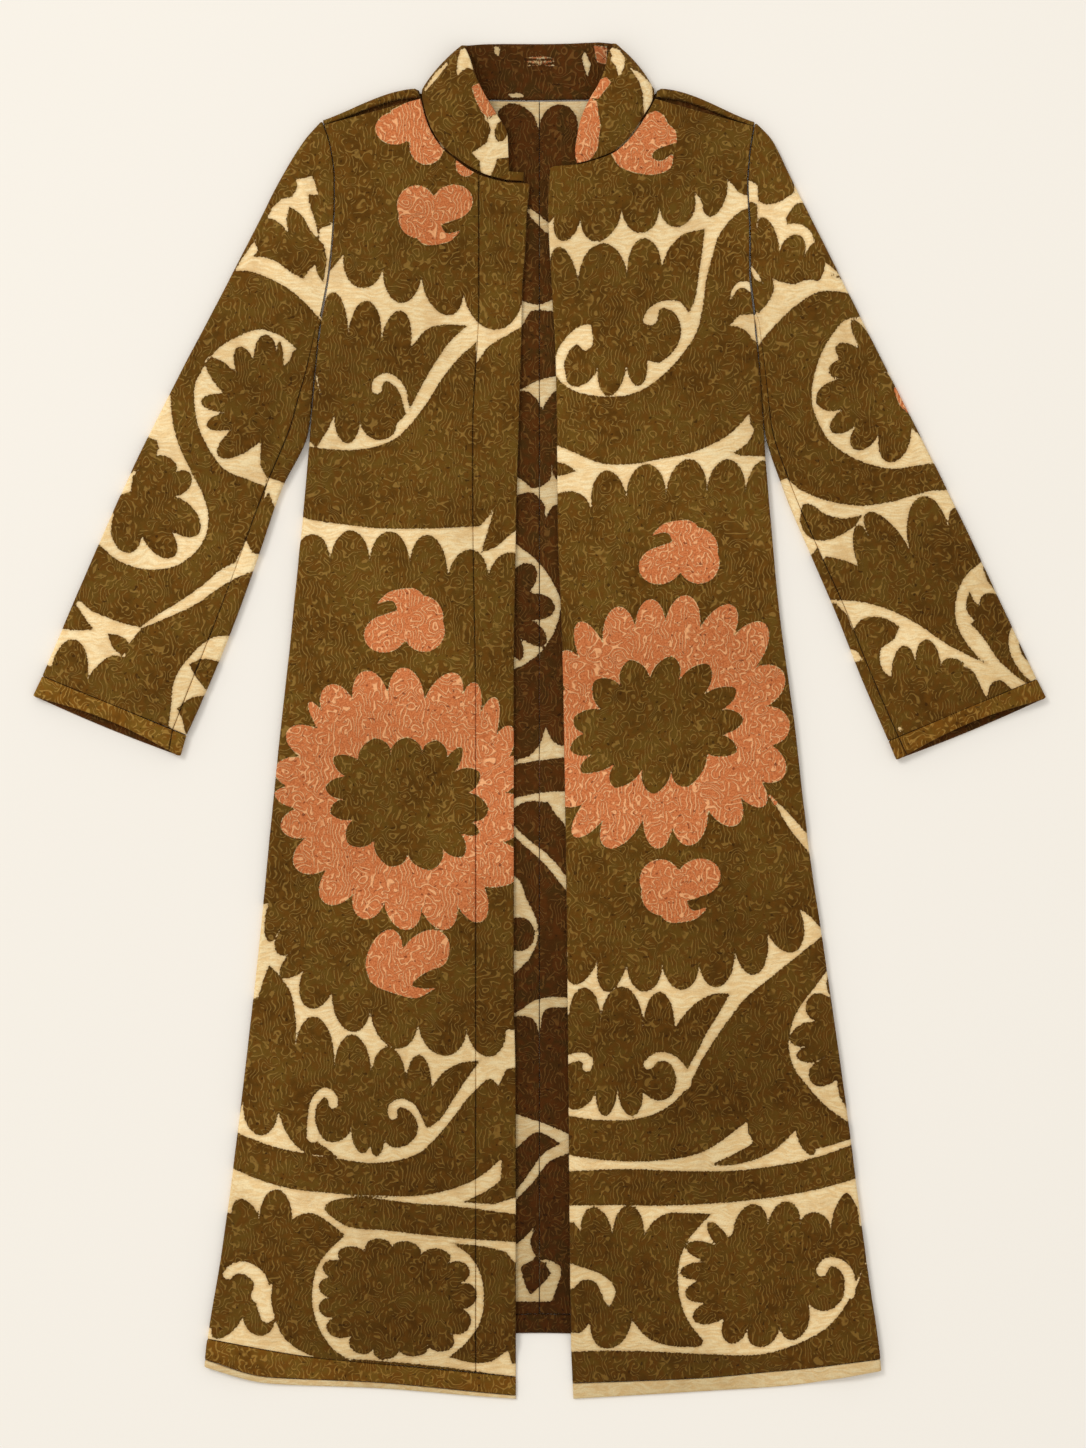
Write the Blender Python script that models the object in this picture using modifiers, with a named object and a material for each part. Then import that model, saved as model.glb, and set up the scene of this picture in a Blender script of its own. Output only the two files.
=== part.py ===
"""A full-length, open-fronted kaftan of quilted cloth with a stand collar, laid flat on its back.

Sizes in the tables are in millimetres: x runs to the wearer's left, y towards the collar, and z up
from the surface that the kaftan lies on. Each piece is the middle surface of its cloth, thickened.
"""

import math
from functools import partial

import bpy
import numpy as np

NAME = "kaftan"
MM = 0.001

WALL = 3.0  # quilted cloth, with its embroidery
COLLAR_WALL = 3.6
SEAM = 0.4  # between pieces that are sewn together
ARMHOLE_SEAM = 0.8
STRIP_SEAM = 0.6  # above the strips at the hem, whose lines are curved
SEAM_CLEAR = 0.6  # least distance from a sleeve's seam to where its fold begins
LOWER = WALL / 2  # height of the layer that lies on the surface, at its middle
UPPER = 5.8  # height of the layer that lies on it
FOLD = (UPPER - LOWER) / 2  # radius of a full fold, from the lower layer to the upper
SIDE_LIP = 0.25  # upright end of each half of a fold that has a seam in it
SIDE_FOLD = FOLD - SEAM / 2 - SIDE_LIP
ROW_STEP = 58.0
ARMHOLE_STEP = 26.0  # rows beside an armhole
TURN_STEP = 8.0  # rows where a side's fold dies out below an armhole
LEVEL_FROM = -300  # above this height the rows lie level
HEM_STEPS = (0, 8, 16, 25, 34, 43, 53, 64)  # rows above a hem, where the front sinks past the back
SLEEVE_STEP = 45.0
CUFF_STEP = 9.0
COLUMNS = 8
STRIP_COLUMNS = (12, 12, 20)  # along the binding, the hem's band and the back's hem
TUBE_COLUMNS = (3, 6, 8, 9)  # of a sleeve: beside its seam, round a fold, under it and over it
ARC_STEPS = 3
LIP = 0.7  # spacing of the fold's columns where an edge lies flat instead

# Side seam from hem to underarm, then the armhole up to the shoulder: y, x.
SIDE_RIGHT = [
    (-650, -325.0), (-594, -318.2), (-518, -305.8), (-364, -285.6), (-210, -268.3), (-134, -260.6),
    (-18, -249.1), (97, -236.6), (212, -225.1), (346, -213.6), (385, -208.8), (400, -205.9),
    (429, -201.1), (470, -197.3), (492, -196.3), (519, -196.3), (550, -200.2), (571.5, -206.7),
]
SIDE_LEFT = [
    (-650, 330.5), (-594, 324.5), (-518, 313.4), (-364, 293.3), (-210, 271.2), (-134, 259.7),
    (-18, 246.2), (97, 230.9), (212, 219.8), (346, 209.8), (387, 205.6), (400, 204.0),
    (430, 201.1), (471, 201.1), (512, 199.2), (542, 201.1), (570.1, 205.4),
]
UNDERARM_Y = {"right": 385.0, "left": 387.0}
UNDERARM_TURN = 32.0  # the side's fold dies out over this length below the armhole
UNDERARM_WAY = (0.45, 0.89)  # away from the garment and up, square to a sleeve's inner fold
UNDERARM_POWER = 4.0  # its turn dies out sooner than its width, so that the layers stay apart

# Front edges from hem to neck, and the seam of the strip along the right one: y, x.
EDGE_RIGHT = [
    (-650, -22.6), (-364, -22.6), (-249, -24.5), (20, -24.5), (174, -22.6), (346, -17.8),
    (423, -15.8), (443, -13.9), (483, -12.0), (514, -9.0),
]
EDGE_LEFT = [
    (-651, 32.6), (-594, 30.2), (-221, 26.4), (20, 22.9), (116, 20.2), (174, 17.5), (265, 16.8),
    (339, 15.6), (443, 10.1), (491, 8.2), (531, 10.1),
]
BAND_SEAM = [(-650, -61.0), (0, -61.0), (212, -63.8), (279, -63.8), (403, -58.0), (523.3, -58.0)]

# Neck edges of the fronts, from the front edge to the shoulder: x, y.
NECK_BAND = [(-58.0, 523.3), (-52.3, 521.5), (-31.2, 516.3), (-13.9, 515.3), (-9.0, 514.0)]
NECK_RIGHT = [
    (-58.0, 523.3), (-68.5, 529.0), (-78.2, 536.4), (-93.6, 549.9), (-106.1, 570.0),
    (-113.8, 596.2),
]
NECK_LEFT = [
    (10.1, 531.0), (35.0, 532.6), (53.3, 537.4), (70.6, 544.1), (86.9, 558.5), (99.4, 575.8),
    (110.8, 596.1),
]
NECK_BACK = [(0, 594.0), (52, 594.6), (66.7, 595.0), (95.5, 597.4), (107.0, 599.4)]

# Where the back starts to fold forward at the shoulders: its ends at the armhole and the neck.
SHOULDER = {
    "right": {"tip": (-206.7, 571.5), "neck": (-115.8, 602.2)},
    "left": {"tip": (205.4, 570.1), "neck": (112.9, 602.1)},
}
FLAP_AT_TIP = 0.5  # how far the back comes forward past its fold
FLAP_AT_NECK = 6.0

# Lines across the fronts and the back at the hem: x, y.
HEM_RIGHT = [(-321.2, -619.4), (-259.7, -635.7), (-153.1, -640.5), (-57.1, -648.2), (-22.6, -650.6)]
HEM_BAND_TOP = [(-317.9, -592.5), (-216.5, -609.8), (-61.0, -625.6), (-22.6, -629.5)]
BINDING_AT_SIDE = 7.6
BINDING_AT_EDGE = 3.2
HEM_LEFT = [(32.6, -650.6), (154.1, -643.4), (239.5, -637.6), (327.4, -623.2)]
BINDING_TOP_LEFT = [(31.2, -635.7), (154.1, -630.9), (239.5, -622.3), (326.4, -611.7)]
HEM_BACK = [(-321.2, -618.0), (-160, -597.0), (0, -587.4), (160, -598.0), (327.0, -621.5)]
BACK_HEM_DEPTH = 18.2

# Flattened sleeves, from the armhole to the seam of the cuff: the outer fold, the inner fold, how
# far the seam under the arm lies from the inner fold, and how far the upper layer rises.
# Columns: outer x, outer y, inner x, inner y, seam, rise.
SLEEVE_RIGHT = [
    (-207.8, 574.8, -208.8, 384.8, 5.0, 0.0),
    (-224.2, 557.6, -212.2, 377.1, 6.5, 0.8),
    (-244.3, 525.9, -214.2, 360.8, 9.0, 1.6),
    (-272.2, 471.2, -217.8, 323.3, 15.5, 2.4),
    (-304.8, 407.8, -223.4, 277.2, 23.0, 2.8),
    (-339.4, 342.5, -248.2, 219.6, 17.0, 2.8),
    (-376.8, 268.6, -268.3, 161.1, 18.0, 2.4),
    (-410.4, 196.6, -289.4, 101.6, 18.0, 2.6),
    (-444.0, 118.8, -313.4, 42.0, 17.0, 2.6),
    (-476.6, 43.0, -338.4, -13.6, 14.0, 2.4),
]
SLEEVE_LEFT = [
    (206.5, 573.4, 205.6, 387.0, 5.0, 0.0),
    (221.8, 557.6, 209.8, 377.1, 6.0, 0.8),
    (237.6, 526.8, 211.4, 360.8, 6.5, 1.6),
    (265.4, 471.2, 214.0, 323.3, 8.0, 2.4),
    (297.1, 407.8, 217.4, 279.2, 9.0, 2.8),
    (329.8, 342.5, 233.8, 221.6, 9.0, 2.8),
    (367.2, 268.6, 259.2, 161.1, 9.0, 2.4),
    (402.7, 196.6, 284.8, 101.6, 10.0, 2.6),
    (439.2, 118.8, 308.2, 42.0, 10.0, 2.6),
    (476.6, 40.1, 334.6, -19.4, 10.0, 2.4),
]
CUFF_RIGHT = [(-476.6, 43.0, -338.4, -13.6, 14.0, 2.4), (-485.3, 23.8, -344.2, -33.8, 12.0, 3.0)]
CUFF_LEFT = [(476.6, 40.1, 334.6, -19.4, 10.0, 2.4), (485.3, 21.9, 342.2, -37.6, 11.0, 3.0)]
MOUTH_BACK = 6.0  # how far the upper layer's edge is drawn back in the middle of a cuff's mouth
MOUTH_OUT = 1.5  # how far the lower layer's edge bows out there
ARMHOLE_REACH = 60.0  # how far down a sleeve its rows still follow the armhole's curve

# The collar from the end at the right front, round the back, to the end at the left front: its
# seam, its rim, and how far it bows outwards between them.
# Columns: seam x, seam y, seam z, rim x, rim y, rim z, bow.
COLLAR = [
    (-15.0, 516.2, 5.7, -14.4, 525.2, 6.3, 0.0),
    (-31.2, 517.4, 5.7, -29.3, 526.8, 6.5, 0.0),
    (-39.8, 519.4, 5.7, -30.2, 542.2, 8.5, 1.0),
    (-52.0, 522.9, 5.7, -30.7, 559.5, 11.5, 2.0),
    (-77.7, 537.4, 5.7, -40.8, 579.6, 16.0, 4.0),
    (-93.0, 550.7, 5.7, -52.3, 597.9, 19.5, 5.0),
    (-105.3, 570.6, 5.7, -61.9, 618.0, 21.0, 5.5),
    (-111.0, 590.0, 5.9, -66.5, 632.4, 19.5, 5.0),
    (-112.4, 600.0, 5.3, -70.0, 641.0, 15.5, 4.0),
    (-110.2, 604.8, 3.9, -71.8, 645.2, 10.5, 3.0),
    (-107.0, 602.6, 2.2, -69.5, 646.8, 6.0, 1.0),
    (-100.5, 599.4, 1.8, -63.0, 648.0, 3.4, 0.0),
    (-85.0, 597.2, 1.8, -50.0, 649.0, 2.3, 0.0),
    (-50.0, 595.0, 1.8, -30.0, 649.3, 2.0, 0.0),
    (0.0, 594.4, 1.8, 0.0, 649.2, 1.9, 0.0),
    (30.0, 594.8, 1.8, 30.0, 649.7, 2.0, 0.0),
    (52.0, 595.3, 1.8, 45.0, 650.4, 2.2, 0.0),
    (84.0, 597.2, 1.8, 56.0, 650.6, 3.2, 0.0),
    (98.0, 599.4, 1.8, 64.0, 649.6, 5.0, 0.0),
    (104.6, 602.6, 2.2, 69.6, 648.4, 7.5, 1.0),
    (107.6, 604.8, 3.9, 71.2, 647.0, 11.0, 3.0),
    (109.5, 600.0, 5.3, 69.6, 643.4, 15.5, 4.0),
    (106.8, 590.5, 5.9, 66.0, 638.0, 19.0, 5.0),
    (98.2, 577.2, 5.7, 63.0, 625.0, 21.0, 5.5),
    (86.4, 559.3, 5.7, 56.5, 608.0, 20.0, 5.0),
    (70.2, 544.9, 5.7, 47.0, 592.0, 17.0, 4.0),
    (60.0, 540.5, 5.7, 39.5, 574.0, 13.0, 3.0),
    (53.0, 538.1, 5.7, 36.5, 560.0, 10.5, 2.0),
    (43.0, 535.4, 5.7, 35.0, 549.0, 8.5, 1.0),
    (36.0, 533.6, 5.7, 34.6, 541.0, 7.0, 0.0),
]
COLLAR_STEPS = 5
COLLAR_CLEAR = 0.8  # from its seam's table to its own edge

# How the fronts lie: they swell between their edges and sink to the surface past the back's hem.
SWELL = 2.0
SWELL_WIDTH = 40.0
EDGE_SINK = 0.6
RIPPLE = 0.35
NECK_FLAT_Y = 510.0
NECK_FADE = 120.0
HEM_FALL = 22.0

OLIVE = (0.20, 0.135, 0.04)
DARK = (0.16, 0.10, 0.03)
CREAM = (0.78, 0.62, 0.38)
INSIDE = (0.09, 0.045, 0.02)


def slopes(place, rows):
    """A slope for each row of a table, so that the line through the rows never swings past one."""
    step = np.diff(rows, axis=0) / np.diff(place)[:, None]
    before, after = step[:-1], step[1:]
    same_way = before * after > 0
    total = np.where(same_way, before + after, 1.0)
    inner = np.where(same_way, 2 * before * after / total, 0.0)
    return np.vstack([step[:1], inner, step[-1:]])


def read(place, rows, at):
    """The table's columns, read from a smooth line through its rows at the given places."""
    rows = np.array(rows, float)
    tangent = slopes(place, rows)
    at = np.clip(at, place[0], place[-1])
    i = np.clip(np.searchsorted(place, at, side="right") - 1, 0, len(place) - 2)
    width = (place[i + 1] - place[i])[:, None]
    t = (at - place[i])[:, None] / width
    start = (1 + 2 * t) * (1 - t) ** 2 * rows[i] + t * (1 - t) ** 2 * width * tangent[i]
    end = t**2 * (3 - 2 * t) * rows[i + 1] + t**2 * (t - 1) * width * tangent[i + 1]
    return start + end


def lookup(table, at):
    """The second column of a table at values of its first."""
    table = np.array(table, float)
    at = np.atleast_1d(np.asarray(at, float))
    return read(table[:, 0], table[:, 1:], at.ravel())[:, 0].reshape(at.shape)


def along(points):
    """How far each point is along the line through them."""
    points = np.asarray(points, float)
    steps = np.linalg.norm(np.diff(points, axis=0), axis=1)
    return np.concatenate([[0], np.cumsum(steps)])


def spaced(points, fractions):
    """Points on the smooth line through these ones, at fractions of its length."""
    place = along(points)
    return read(place, points, np.asarray(fractions) * place[-1])


def stations(table, step):
    """The table's rows, with more between them so that none are further apart than about step."""
    table = np.array(table, float)
    place = along(table)
    at = [table[:0, 0]]
    for start, end in zip(place[:-1], place[1:]):
        count = max(1, round((end - start) / step))
        at.append(np.linspace(start, end, count, endpoint=False))
    at.append(place[-1:])
    return read(place, table, np.concatenate(at))


def ease(t):
    """A smooth step from 0 to 1."""
    t = np.clip(t, 0, 1)
    return t * t * (3 - 2 * t)


def edge_line(table, levels):
    """Points of an edge at the given heights of the garment."""
    return np.stack([lookup(table, levels), levels], axis=1)


def levels(start, end, step=ROW_STEP, foot=()):
    """Heights of the garment from start to end, about a step apart, and closer at its foot."""
    first = [start + up for up in foot]
    start = first.pop() if first else start
    return np.append(first, np.linspace(start, end, max(2, round((end - start) / step) + 1)))


def front_height(side, x, y):
    """Height of a front's middle surface above the surface that the kaftan lies on."""
    if side == "right":
        from_side = x - lookup(SIDE_RIGHT, y)
        from_edge = lookup(EDGE_RIGHT, y) - x
    else:
        from_side = lookup(SIDE_LEFT, y) - x
        from_edge = x - lookup(EDGE_LEFT, y)
    from_side = np.maximum(from_side, 0)
    from_edge = np.maximum(from_edge, 0)
    inside = 1 - np.exp(-from_side / SWELL_WIDTH)
    swell = inside * (1 - np.exp(-from_edge / SWELL_WIDTH))
    ripple = RIPPLE * np.sin(x / 55 + 1.3) * np.sin(y / 90)
    below_neck = ease((NECK_FLAT_Y - y) / NECK_FADE)
    sink = EDGE_SINK * np.exp(-from_edge / 12) * below_neck
    height = UPPER + swell * (SWELL + ripple) * below_neck - sink
    past_back = lookup(HEM_BACK, x) - y
    fall = ease((past_back - 2) / HEM_FALL) * inside
    return height + (LOWER - height) * fall


def back_height(x, y):
    """Height of the back's middle surface: it lies flat."""
    return np.full(np.shape(x), LOWER)


def patch(left, right, lower, upper, height, folds, turn, across=None):
    """Points of a panel in rows from left to right, from its edges and the lines across its ends.

    folds says which of the two edges turns into a side seam below the underarm, and turn is 1 where
    that edge turns up and -1 where it turns down.
    """
    across = np.linspace(0, 1, COLUMNS + 1) if across is None else across
    middle = (left + right)[:, 1] / 2
    fade = (middle - middle[0]) / (middle[-1] - middle[0])
    angles = np.radians(np.linspace(90, 0, ARC_STEPS + 1))
    round_edge = WALL / 2 + SIDE_FOLD * (1 - np.sin(angles))
    round_turn = SIDE_FOLD * (1 - np.cos(angles))
    round_edge = np.append(round_edge[0], round_edge)
    round_turn = np.append(round_turn[0] + SIDE_LIP, round_turn)
    flat_edge = LIP * np.arange(len(round_edge))
    grid = []
    for i in range(len(left)):
        span = right[i] - left[i]
        width = np.linalg.norm(span)
        way = span / width
        insets, turns = [], []
        for end, folded in ((left, folds[0]), (right, folds[1])):
            underarm = UNDERARM_Y["right" if end[i, 0] < 0 else "left"]
            fold = folded * float(ease((underarm - end[i, 1]) / UNDERARM_TURN))
            inset = fold * round_edge + (1 - fold) * flat_edge
            insets.append(inset if folded else inset[:1] * 0)
            turns.append(turn * fold**UNDERARM_POWER * round_turn if folded else np.zeros(1))
        start, end = insets[0][-1], width - insets[1][-1]
        reach = np.concatenate([
            insets[0][:-1],
            start + (end - start) * across,
            width - insets[1][-2::-1],
        ])
        lift = np.concatenate([turns[0][:-1], np.zeros(len(across)), turns[1][-2::-1]])
        flat = left[i] + reach[:, None] * way
        part = reach / width
        for line, weight, row in ((lower, 1 - fade[i], 0), (upper, fade[i], -1)):
            if line is None:
                continue
            x = left[row, 0] + part * (right[row, 0] - left[row, 0])
            chord = left[row, 1] + part * (right[row, 1] - left[row, 1])
            flat[:, 1] += weight * (lookup(line, x) - chord)
        z = height(flat[:, 0], flat[:, 1]) + lift
        grid.append(np.column_stack([flat, z]))
    return np.array(grid)


def grid_faces(rows, columns, first=0, facing=1):
    """Faces between rows of points, numbered from first."""
    faces = []
    for i in range(rows - 1):
        for j in range(columns - 1):
            a = first + i * columns + j
            quad = (a, a + 1, a + columns + 1, a + columns)
            faces.append(quad if facing > 0 else quad[::-1])
    return faces


def material(name, colour):
    """Cloth of one plain colour."""
    made = bpy.data.materials.new(name)
    made.use_nodes = True
    shader = made.node_tree.nodes["Principled BSDF"]
    shader.inputs["Base Color"].default_value = (*colour, 1)
    shader.inputs["Roughness"].default_value = 0.85
    shader.inputs["Metallic"].default_value = 0.0
    return made


def sheet(name, points, faces, colour, wall=WALL):
    """One piece of the garment: its middle surface, with half of the cloth on each side of it."""
    mesh = bpy.data.meshes.new(name)
    mesh.from_pydata((np.asarray(points).reshape(-1, 3) * MM).tolist(), [], faces)
    mesh.shade_smooth()
    mesh.set_sharp_from_angle(angle=math.radians(40))
    mesh.materials.append(material(name + "_cloth", colour))
    piece = bpy.data.objects.new(name, mesh)
    bpy.data.collections[NAME].objects.link(piece)
    solidify = piece.modifiers.new("cloth", "SOLIDIFY")
    solidify.thickness = wall * MM
    solidify.offset = 0
    solidify.use_even_offset = True
    return piece


def panel(name, colour, *args, **options):
    """A piece that is a plain patch."""
    grid = patch(*args, **options)
    return sheet(name, grid, grid_faces(grid.shape[0], grid.shape[1]), colour)


def outward(side):
    """The direction away from the garment, square to a shoulder's fold."""
    tip = np.array(SHOULDER[side]["tip"])
    neck = np.array(SHOULDER[side]["neck"])
    way = (neck - tip) / np.linalg.norm(neck - tip)
    normal = np.array([-way[1], way[0]])
    return normal if normal[1] > 0 else -normal


def shoulder_seam(side, past=SEAM):
    """The line where a front meets the back's flap: the ends at the neck and the armhole."""
    tip = np.array(SHOULDER[side]["tip"]) - outward(side) * (FLAP_AT_TIP + past)
    neck = np.array(SHOULDER[side]["neck"]) - outward(side) * (FLAP_AT_NECK + past)
    return tip, neck


def build_back(side):
    """Half of the back, from its hem to the neck, folded forward over the shoulder."""
    sign = -1 if side == "right" else 1
    table = SIDE_RIGHT if side == "right" else SIDE_LEFT
    tip = np.array(SHOULDER[side]["tip"])
    neck = np.array(SHOULDER[side]["neck"])
    hem = [(x, y + BACK_HEM_DEPTH + STRIP_SEAM) for x, y in HEM_BACK]
    side_x = lookup(table, hem[0 if side == "right" else -1][1])[0]
    hem_y = lookup(hem, side_x)[0]
    underarm = UNDERARM_Y[side]
    rows = np.concatenate([
        levels(hem_y, underarm - UNDERARM_TURN)[:-1],
        levels(underarm - UNDERARM_TURN, underarm, TURN_STEP)[:-1],
        levels(underarm, tip[1], ARMHOLE_STEP),
    ])
    edge = edge_line(table, rows)
    edge[-1] = tip
    centre_x = sign * SEAM / 2
    centre_y = np.interp(rows, [rows[0], rows[-1]], [lookup(hem, centre_x)[0], NECK_BACK[0][1]])
    centre = np.column_stack([np.full(len(rows), centre_x), centre_y])
    neck_line = [(sign * x, y) for x, y in NECK_BACK] + [tuple(neck), tuple(tip)]
    neck_line = sorted([*neck_line, (centre_x, NECK_BACK[0][1])][1:])
    flat_end = LIP * (ARC_STEPS + 1)
    width = abs(tip[0] - centre_x)
    at_neck = (abs(tip[0] - neck[0]) - flat_end) / (width - flat_end)
    outer = np.linspace(0, at_neck, 4)
    inner = np.linspace(at_neck, 1, 5)[1:]
    from_side = np.concatenate([outer, inner])
    if side == "right":
        left, right, folds, across = edge, centre, (1, 0), from_side
    else:
        left, right, folds, across = centre, edge, (0, 1), 1 - from_side[::-1]
    grid = patch(left, right, hem, neck_line, back_height, folds, 1, across)
    points = list(grid.reshape(-1, 3))
    columns = grid.shape[1]
    faces = grid_faces(grid.shape[0], columns)

    shoulder = ARC_STEPS + 1 + len(outer)
    picked = range(shoulder) if side == "right" else range(columns - shoulder, columns)
    picked = list(picked)
    top = grid[-1, picked]
    below = [(grid.shape[0] - 1) * columns + j for j in picked]
    away = np.append(outward(side), 0)
    fold_rows = [
        top + away * FOLD * math.sin(angle) + [0, 0, FOLD * (1 - math.cos(angle))]
        for angle in np.linspace(0, math.pi, 7)[1:]
    ]
    from_tip = np.abs(top[:, 0] - tip[0]) / abs(neck[0] - tip[0])
    flap = FLAP_AT_TIP + (FLAP_AT_NECK - FLAP_AT_TIP) * from_tip
    fold_rows.append(fold_rows[-1] - flap[:, None] * away)
    for row in fold_rows:
        here = list(range(len(points), len(points) + len(row)))
        points.extend(row)
        for j in range(len(row) - 1):
            faces.append((below[j], below[j + 1], here[j + 1], here[j]))
        below = here
    sheet("back_" + side, points, faces, OLIVE if side == "right" else DARK)


def right_front_rows():
    """Rows of the right front below its neck: their heights at the side and at the strip's seam."""
    hem_y = HEM_BAND_TOP[0][1] + STRIP_SEAM
    seam_foot = lookup(HEM_BAND_TOP, BAND_SEAM[0][1])[0] + STRIP_SEAM
    underarm = UNDERARM_Y["right"]
    corner = EDGE_RIGHT[-1][0]
    rows = np.concatenate([
        levels(hem_y, underarm - UNDERARM_TURN, foot=HEM_STEPS)[:-1],
        levels(underarm - UNDERARM_TURN, underarm, TURN_STEP)[:-1],
        levels(underarm, corner, ARMHOLE_STEP),
    ])
    marks = [rows[0], LEVEL_FROM, corner]
    return rows, np.interp(rows, marks, [seam_foot, LEVEL_FROM, corner])


def build_front_right():
    """The right front as far as the strip along its edge."""
    neck_rows = spaced(NECK_RIGHT, np.linspace(0, 1, 7))
    rows, seam_rows = right_front_rows()
    tip, _ = shoulder_seam("right")
    armhole_rows = np.linspace(rows[-1], tip[1], len(neck_rows) + 1)[1:]
    left = edge_line(SIDE_RIGHT, np.concatenate([rows, armhole_rows]))
    left[-1] = tip
    seam = edge_line(BAND_SEAM, seam_rows)
    right = np.vstack([seam, neck_rows])
    right[:, 0] -= SEAM / 2
    hem = [(x, y + STRIP_SEAM) for x, y in HEM_BAND_TOP]
    height = partial(front_height, "right")
    panel("front_right", OLIVE, left, right, hem, None, height, (1, 0), -1)


def build_front_band():
    """The strip sewn along the edge of the right front."""
    top = NECK_BAND[0][1]
    seam = edge_line(BAND_SEAM, np.append(right_front_rows()[1], top))
    foot = seam[0, 1]
    seam[:, 0] += SEAM / 2
    edge_foot = HEM_BAND_TOP[-1][1] + STRIP_SEAM
    part = (seam[:, 1] - foot) / (top - foot)
    edge = edge_line(EDGE_RIGHT, edge_foot + part * (NECK_BAND[-1][1] - edge_foot))
    height = partial(front_height, "right")
    across = np.linspace(0, 1, 4)
    panel("front_band_right", OLIVE, seam, edge, None, NECK_BAND, height, (0, 0), -1, across)


def build_front_left():
    """The left front, cut in one."""
    neck_rows = spaced(NECK_LEFT, np.linspace(0, 1, 10))
    side_foot = BINDING_TOP_LEFT[-1][1] + STRIP_SEAM
    edge_foot = BINDING_TOP_LEFT[0][1] + STRIP_SEAM
    corner = neck_rows[0, 1]
    underarm = UNDERARM_Y["left"]
    rows = np.concatenate([
        levels(side_foot, underarm - UNDERARM_TURN, foot=HEM_STEPS)[:-1],
        levels(underarm - UNDERARM_TURN, underarm, TURN_STEP)[:-1],
        levels(underarm, corner, ARMHOLE_STEP)[:-1],
    ])
    tip, _ = shoulder_seam("left")
    armhole_rows = np.linspace(corner, tip[1], len(neck_rows))
    right = edge_line(SIDE_LEFT, np.concatenate([rows, armhole_rows]))
    right[-1] = tip
    marks = [rows[0], LEVEL_FROM, rows[-1]]
    edge_rows = np.interp(rows, marks, [edge_foot, LEVEL_FROM, rows[-1]])
    left = np.vstack([edge_line(EDGE_LEFT, edge_rows), neck_rows])
    hem = [(x, y + STRIP_SEAM) for x, y in BINDING_TOP_LEFT]
    height = partial(front_height, "left")
    panel("front_left", OLIVE, left, right, hem, None, height, (0, 1), -1)


def strip(name, colour, tables, lower, upper, height, folds, turn, columns):
    """A strip across the garment, between two lines and two edges."""
    sides = []
    for end, table in zip((0, -1), tables):
        top = lookup(upper, lower[end][0])[0]
        sides.append(edge_line(table, np.linspace(lower[end][1], top, 3)))
    across = np.linspace(0, 1, columns + 1)
    panel(name, colour, sides[0], sides[1], lower, upper, height, folds, turn, across)


def build_hems():
    """The strips along the lower edges of the fronts and of the back."""
    width = [BINDING_AT_SIDE, 6.4, 5.4, 4.0, BINDING_AT_EDGE]
    binding_top = [(x, y + w) for (x, y), w in zip(HEM_RIGHT, width)]
    band_foot = [(x, y + STRIP_SEAM) for x, y in binding_top]
    right = partial(front_height, "right")
    left = partial(front_height, "left")
    edges = (SIDE_RIGHT, EDGE_RIGHT)
    binding, band, back = STRIP_COLUMNS
    strip("hem_binding_right", CREAM, edges, HEM_RIGHT, binding_top, right, (1, 0), -1, binding)
    strip("hem_band_right", DARK, edges, band_foot, HEM_BAND_TOP, right, (1, 0), -1, band)
    edges = (EDGE_LEFT, SIDE_LEFT)
    strip("hem_binding_left", CREAM, edges, HEM_LEFT, BINDING_TOP_LEFT, left, (0, 1), -1, binding)
    edges = (SIDE_RIGHT, SIDE_LEFT)
    top = [(x, y + BACK_HEM_DEPTH) for x, y in HEM_BACK]
    strip("back_hem", INSIDE, edges, HEM_BACK, top, back_height, (1, 1), 1, back)


def normals(line, inside):
    """For each point of a line, the direction square to it that points towards its partner."""
    way = np.gradient(line, axis=0)
    square = np.column_stack([-way[:, 1], way[:, 0]])
    square /= np.linalg.norm(square, axis=1)[:, None]
    flip = ((inside - line) * square).sum(1) < 0
    square[flip] *= -1
    return square


def crown(fractions):
    """How a sleeve's upper layer swells between its folds, as a part of its rise."""
    return np.sin(np.pi * np.asarray(fractions)) ** 0.8


def armhole_shape(side, follow, fractions):
    """How far the armhole curve, or a part of it, lies from the line between its ends."""
    table = np.array(SIDE_RIGHT if side == "right" else SIDE_LEFT)
    hole = table[table[:, 0] >= UNDERARM_Y[side]][::-1, ::-1]
    curve = spaced(hole, fractions)
    ends = spaced(hole, [0, 1])
    return follow * (curve - ends[0] - (ends[1] - ends[0]) * np.asarray(fractions)[:, None])


def folds_of(side, rows, at_armhole):
    """The outer and inner folds of a tube, and for each the way into the cloth, row by row."""
    outer, inner = rows[:, 0:2].copy(), rows[:, 2:4].copy()
    outer_in = normals(outer, inner)
    inner_in = normals(inner, outer)
    if at_armhole:
        away = 1 if side == "left" else -1
        hole = np.array(SIDE_RIGHT if side == "right" else SIDE_LEFT)[:, ::-1]
        down = hole[-2] - hole[-1]
        outer_in[0] = down / np.linalg.norm(down)
        inner_in[0] = (UNDERARM_WAY[0] * away, UNDERARM_WAY[1])
        outer[0, 0] += 2 * ARMHOLE_SEAM * away
        inner[0, 0] += ARMHOLE_SEAM * away
    return outer, inner, outer_in, inner_in


def layer(start, end, fractions, bulge, drawn, height):
    """Points of one layer of a tube between its folds, drawn towards the mouth by so much."""
    fractions = np.asarray(fractions, float)
    span = end - start
    flat = start + span * fractions[:, None] + bulge(fractions)
    mouthwards = np.array([-span[1], span[0]]) / np.linalg.norm(span)
    mouthwards *= -np.sign(mouthwards[1])
    flat += (drawn * np.sin(np.pi * fractions))[:, None] * mouthwards
    return np.column_stack([flat, height + 0 * fractions])


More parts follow.
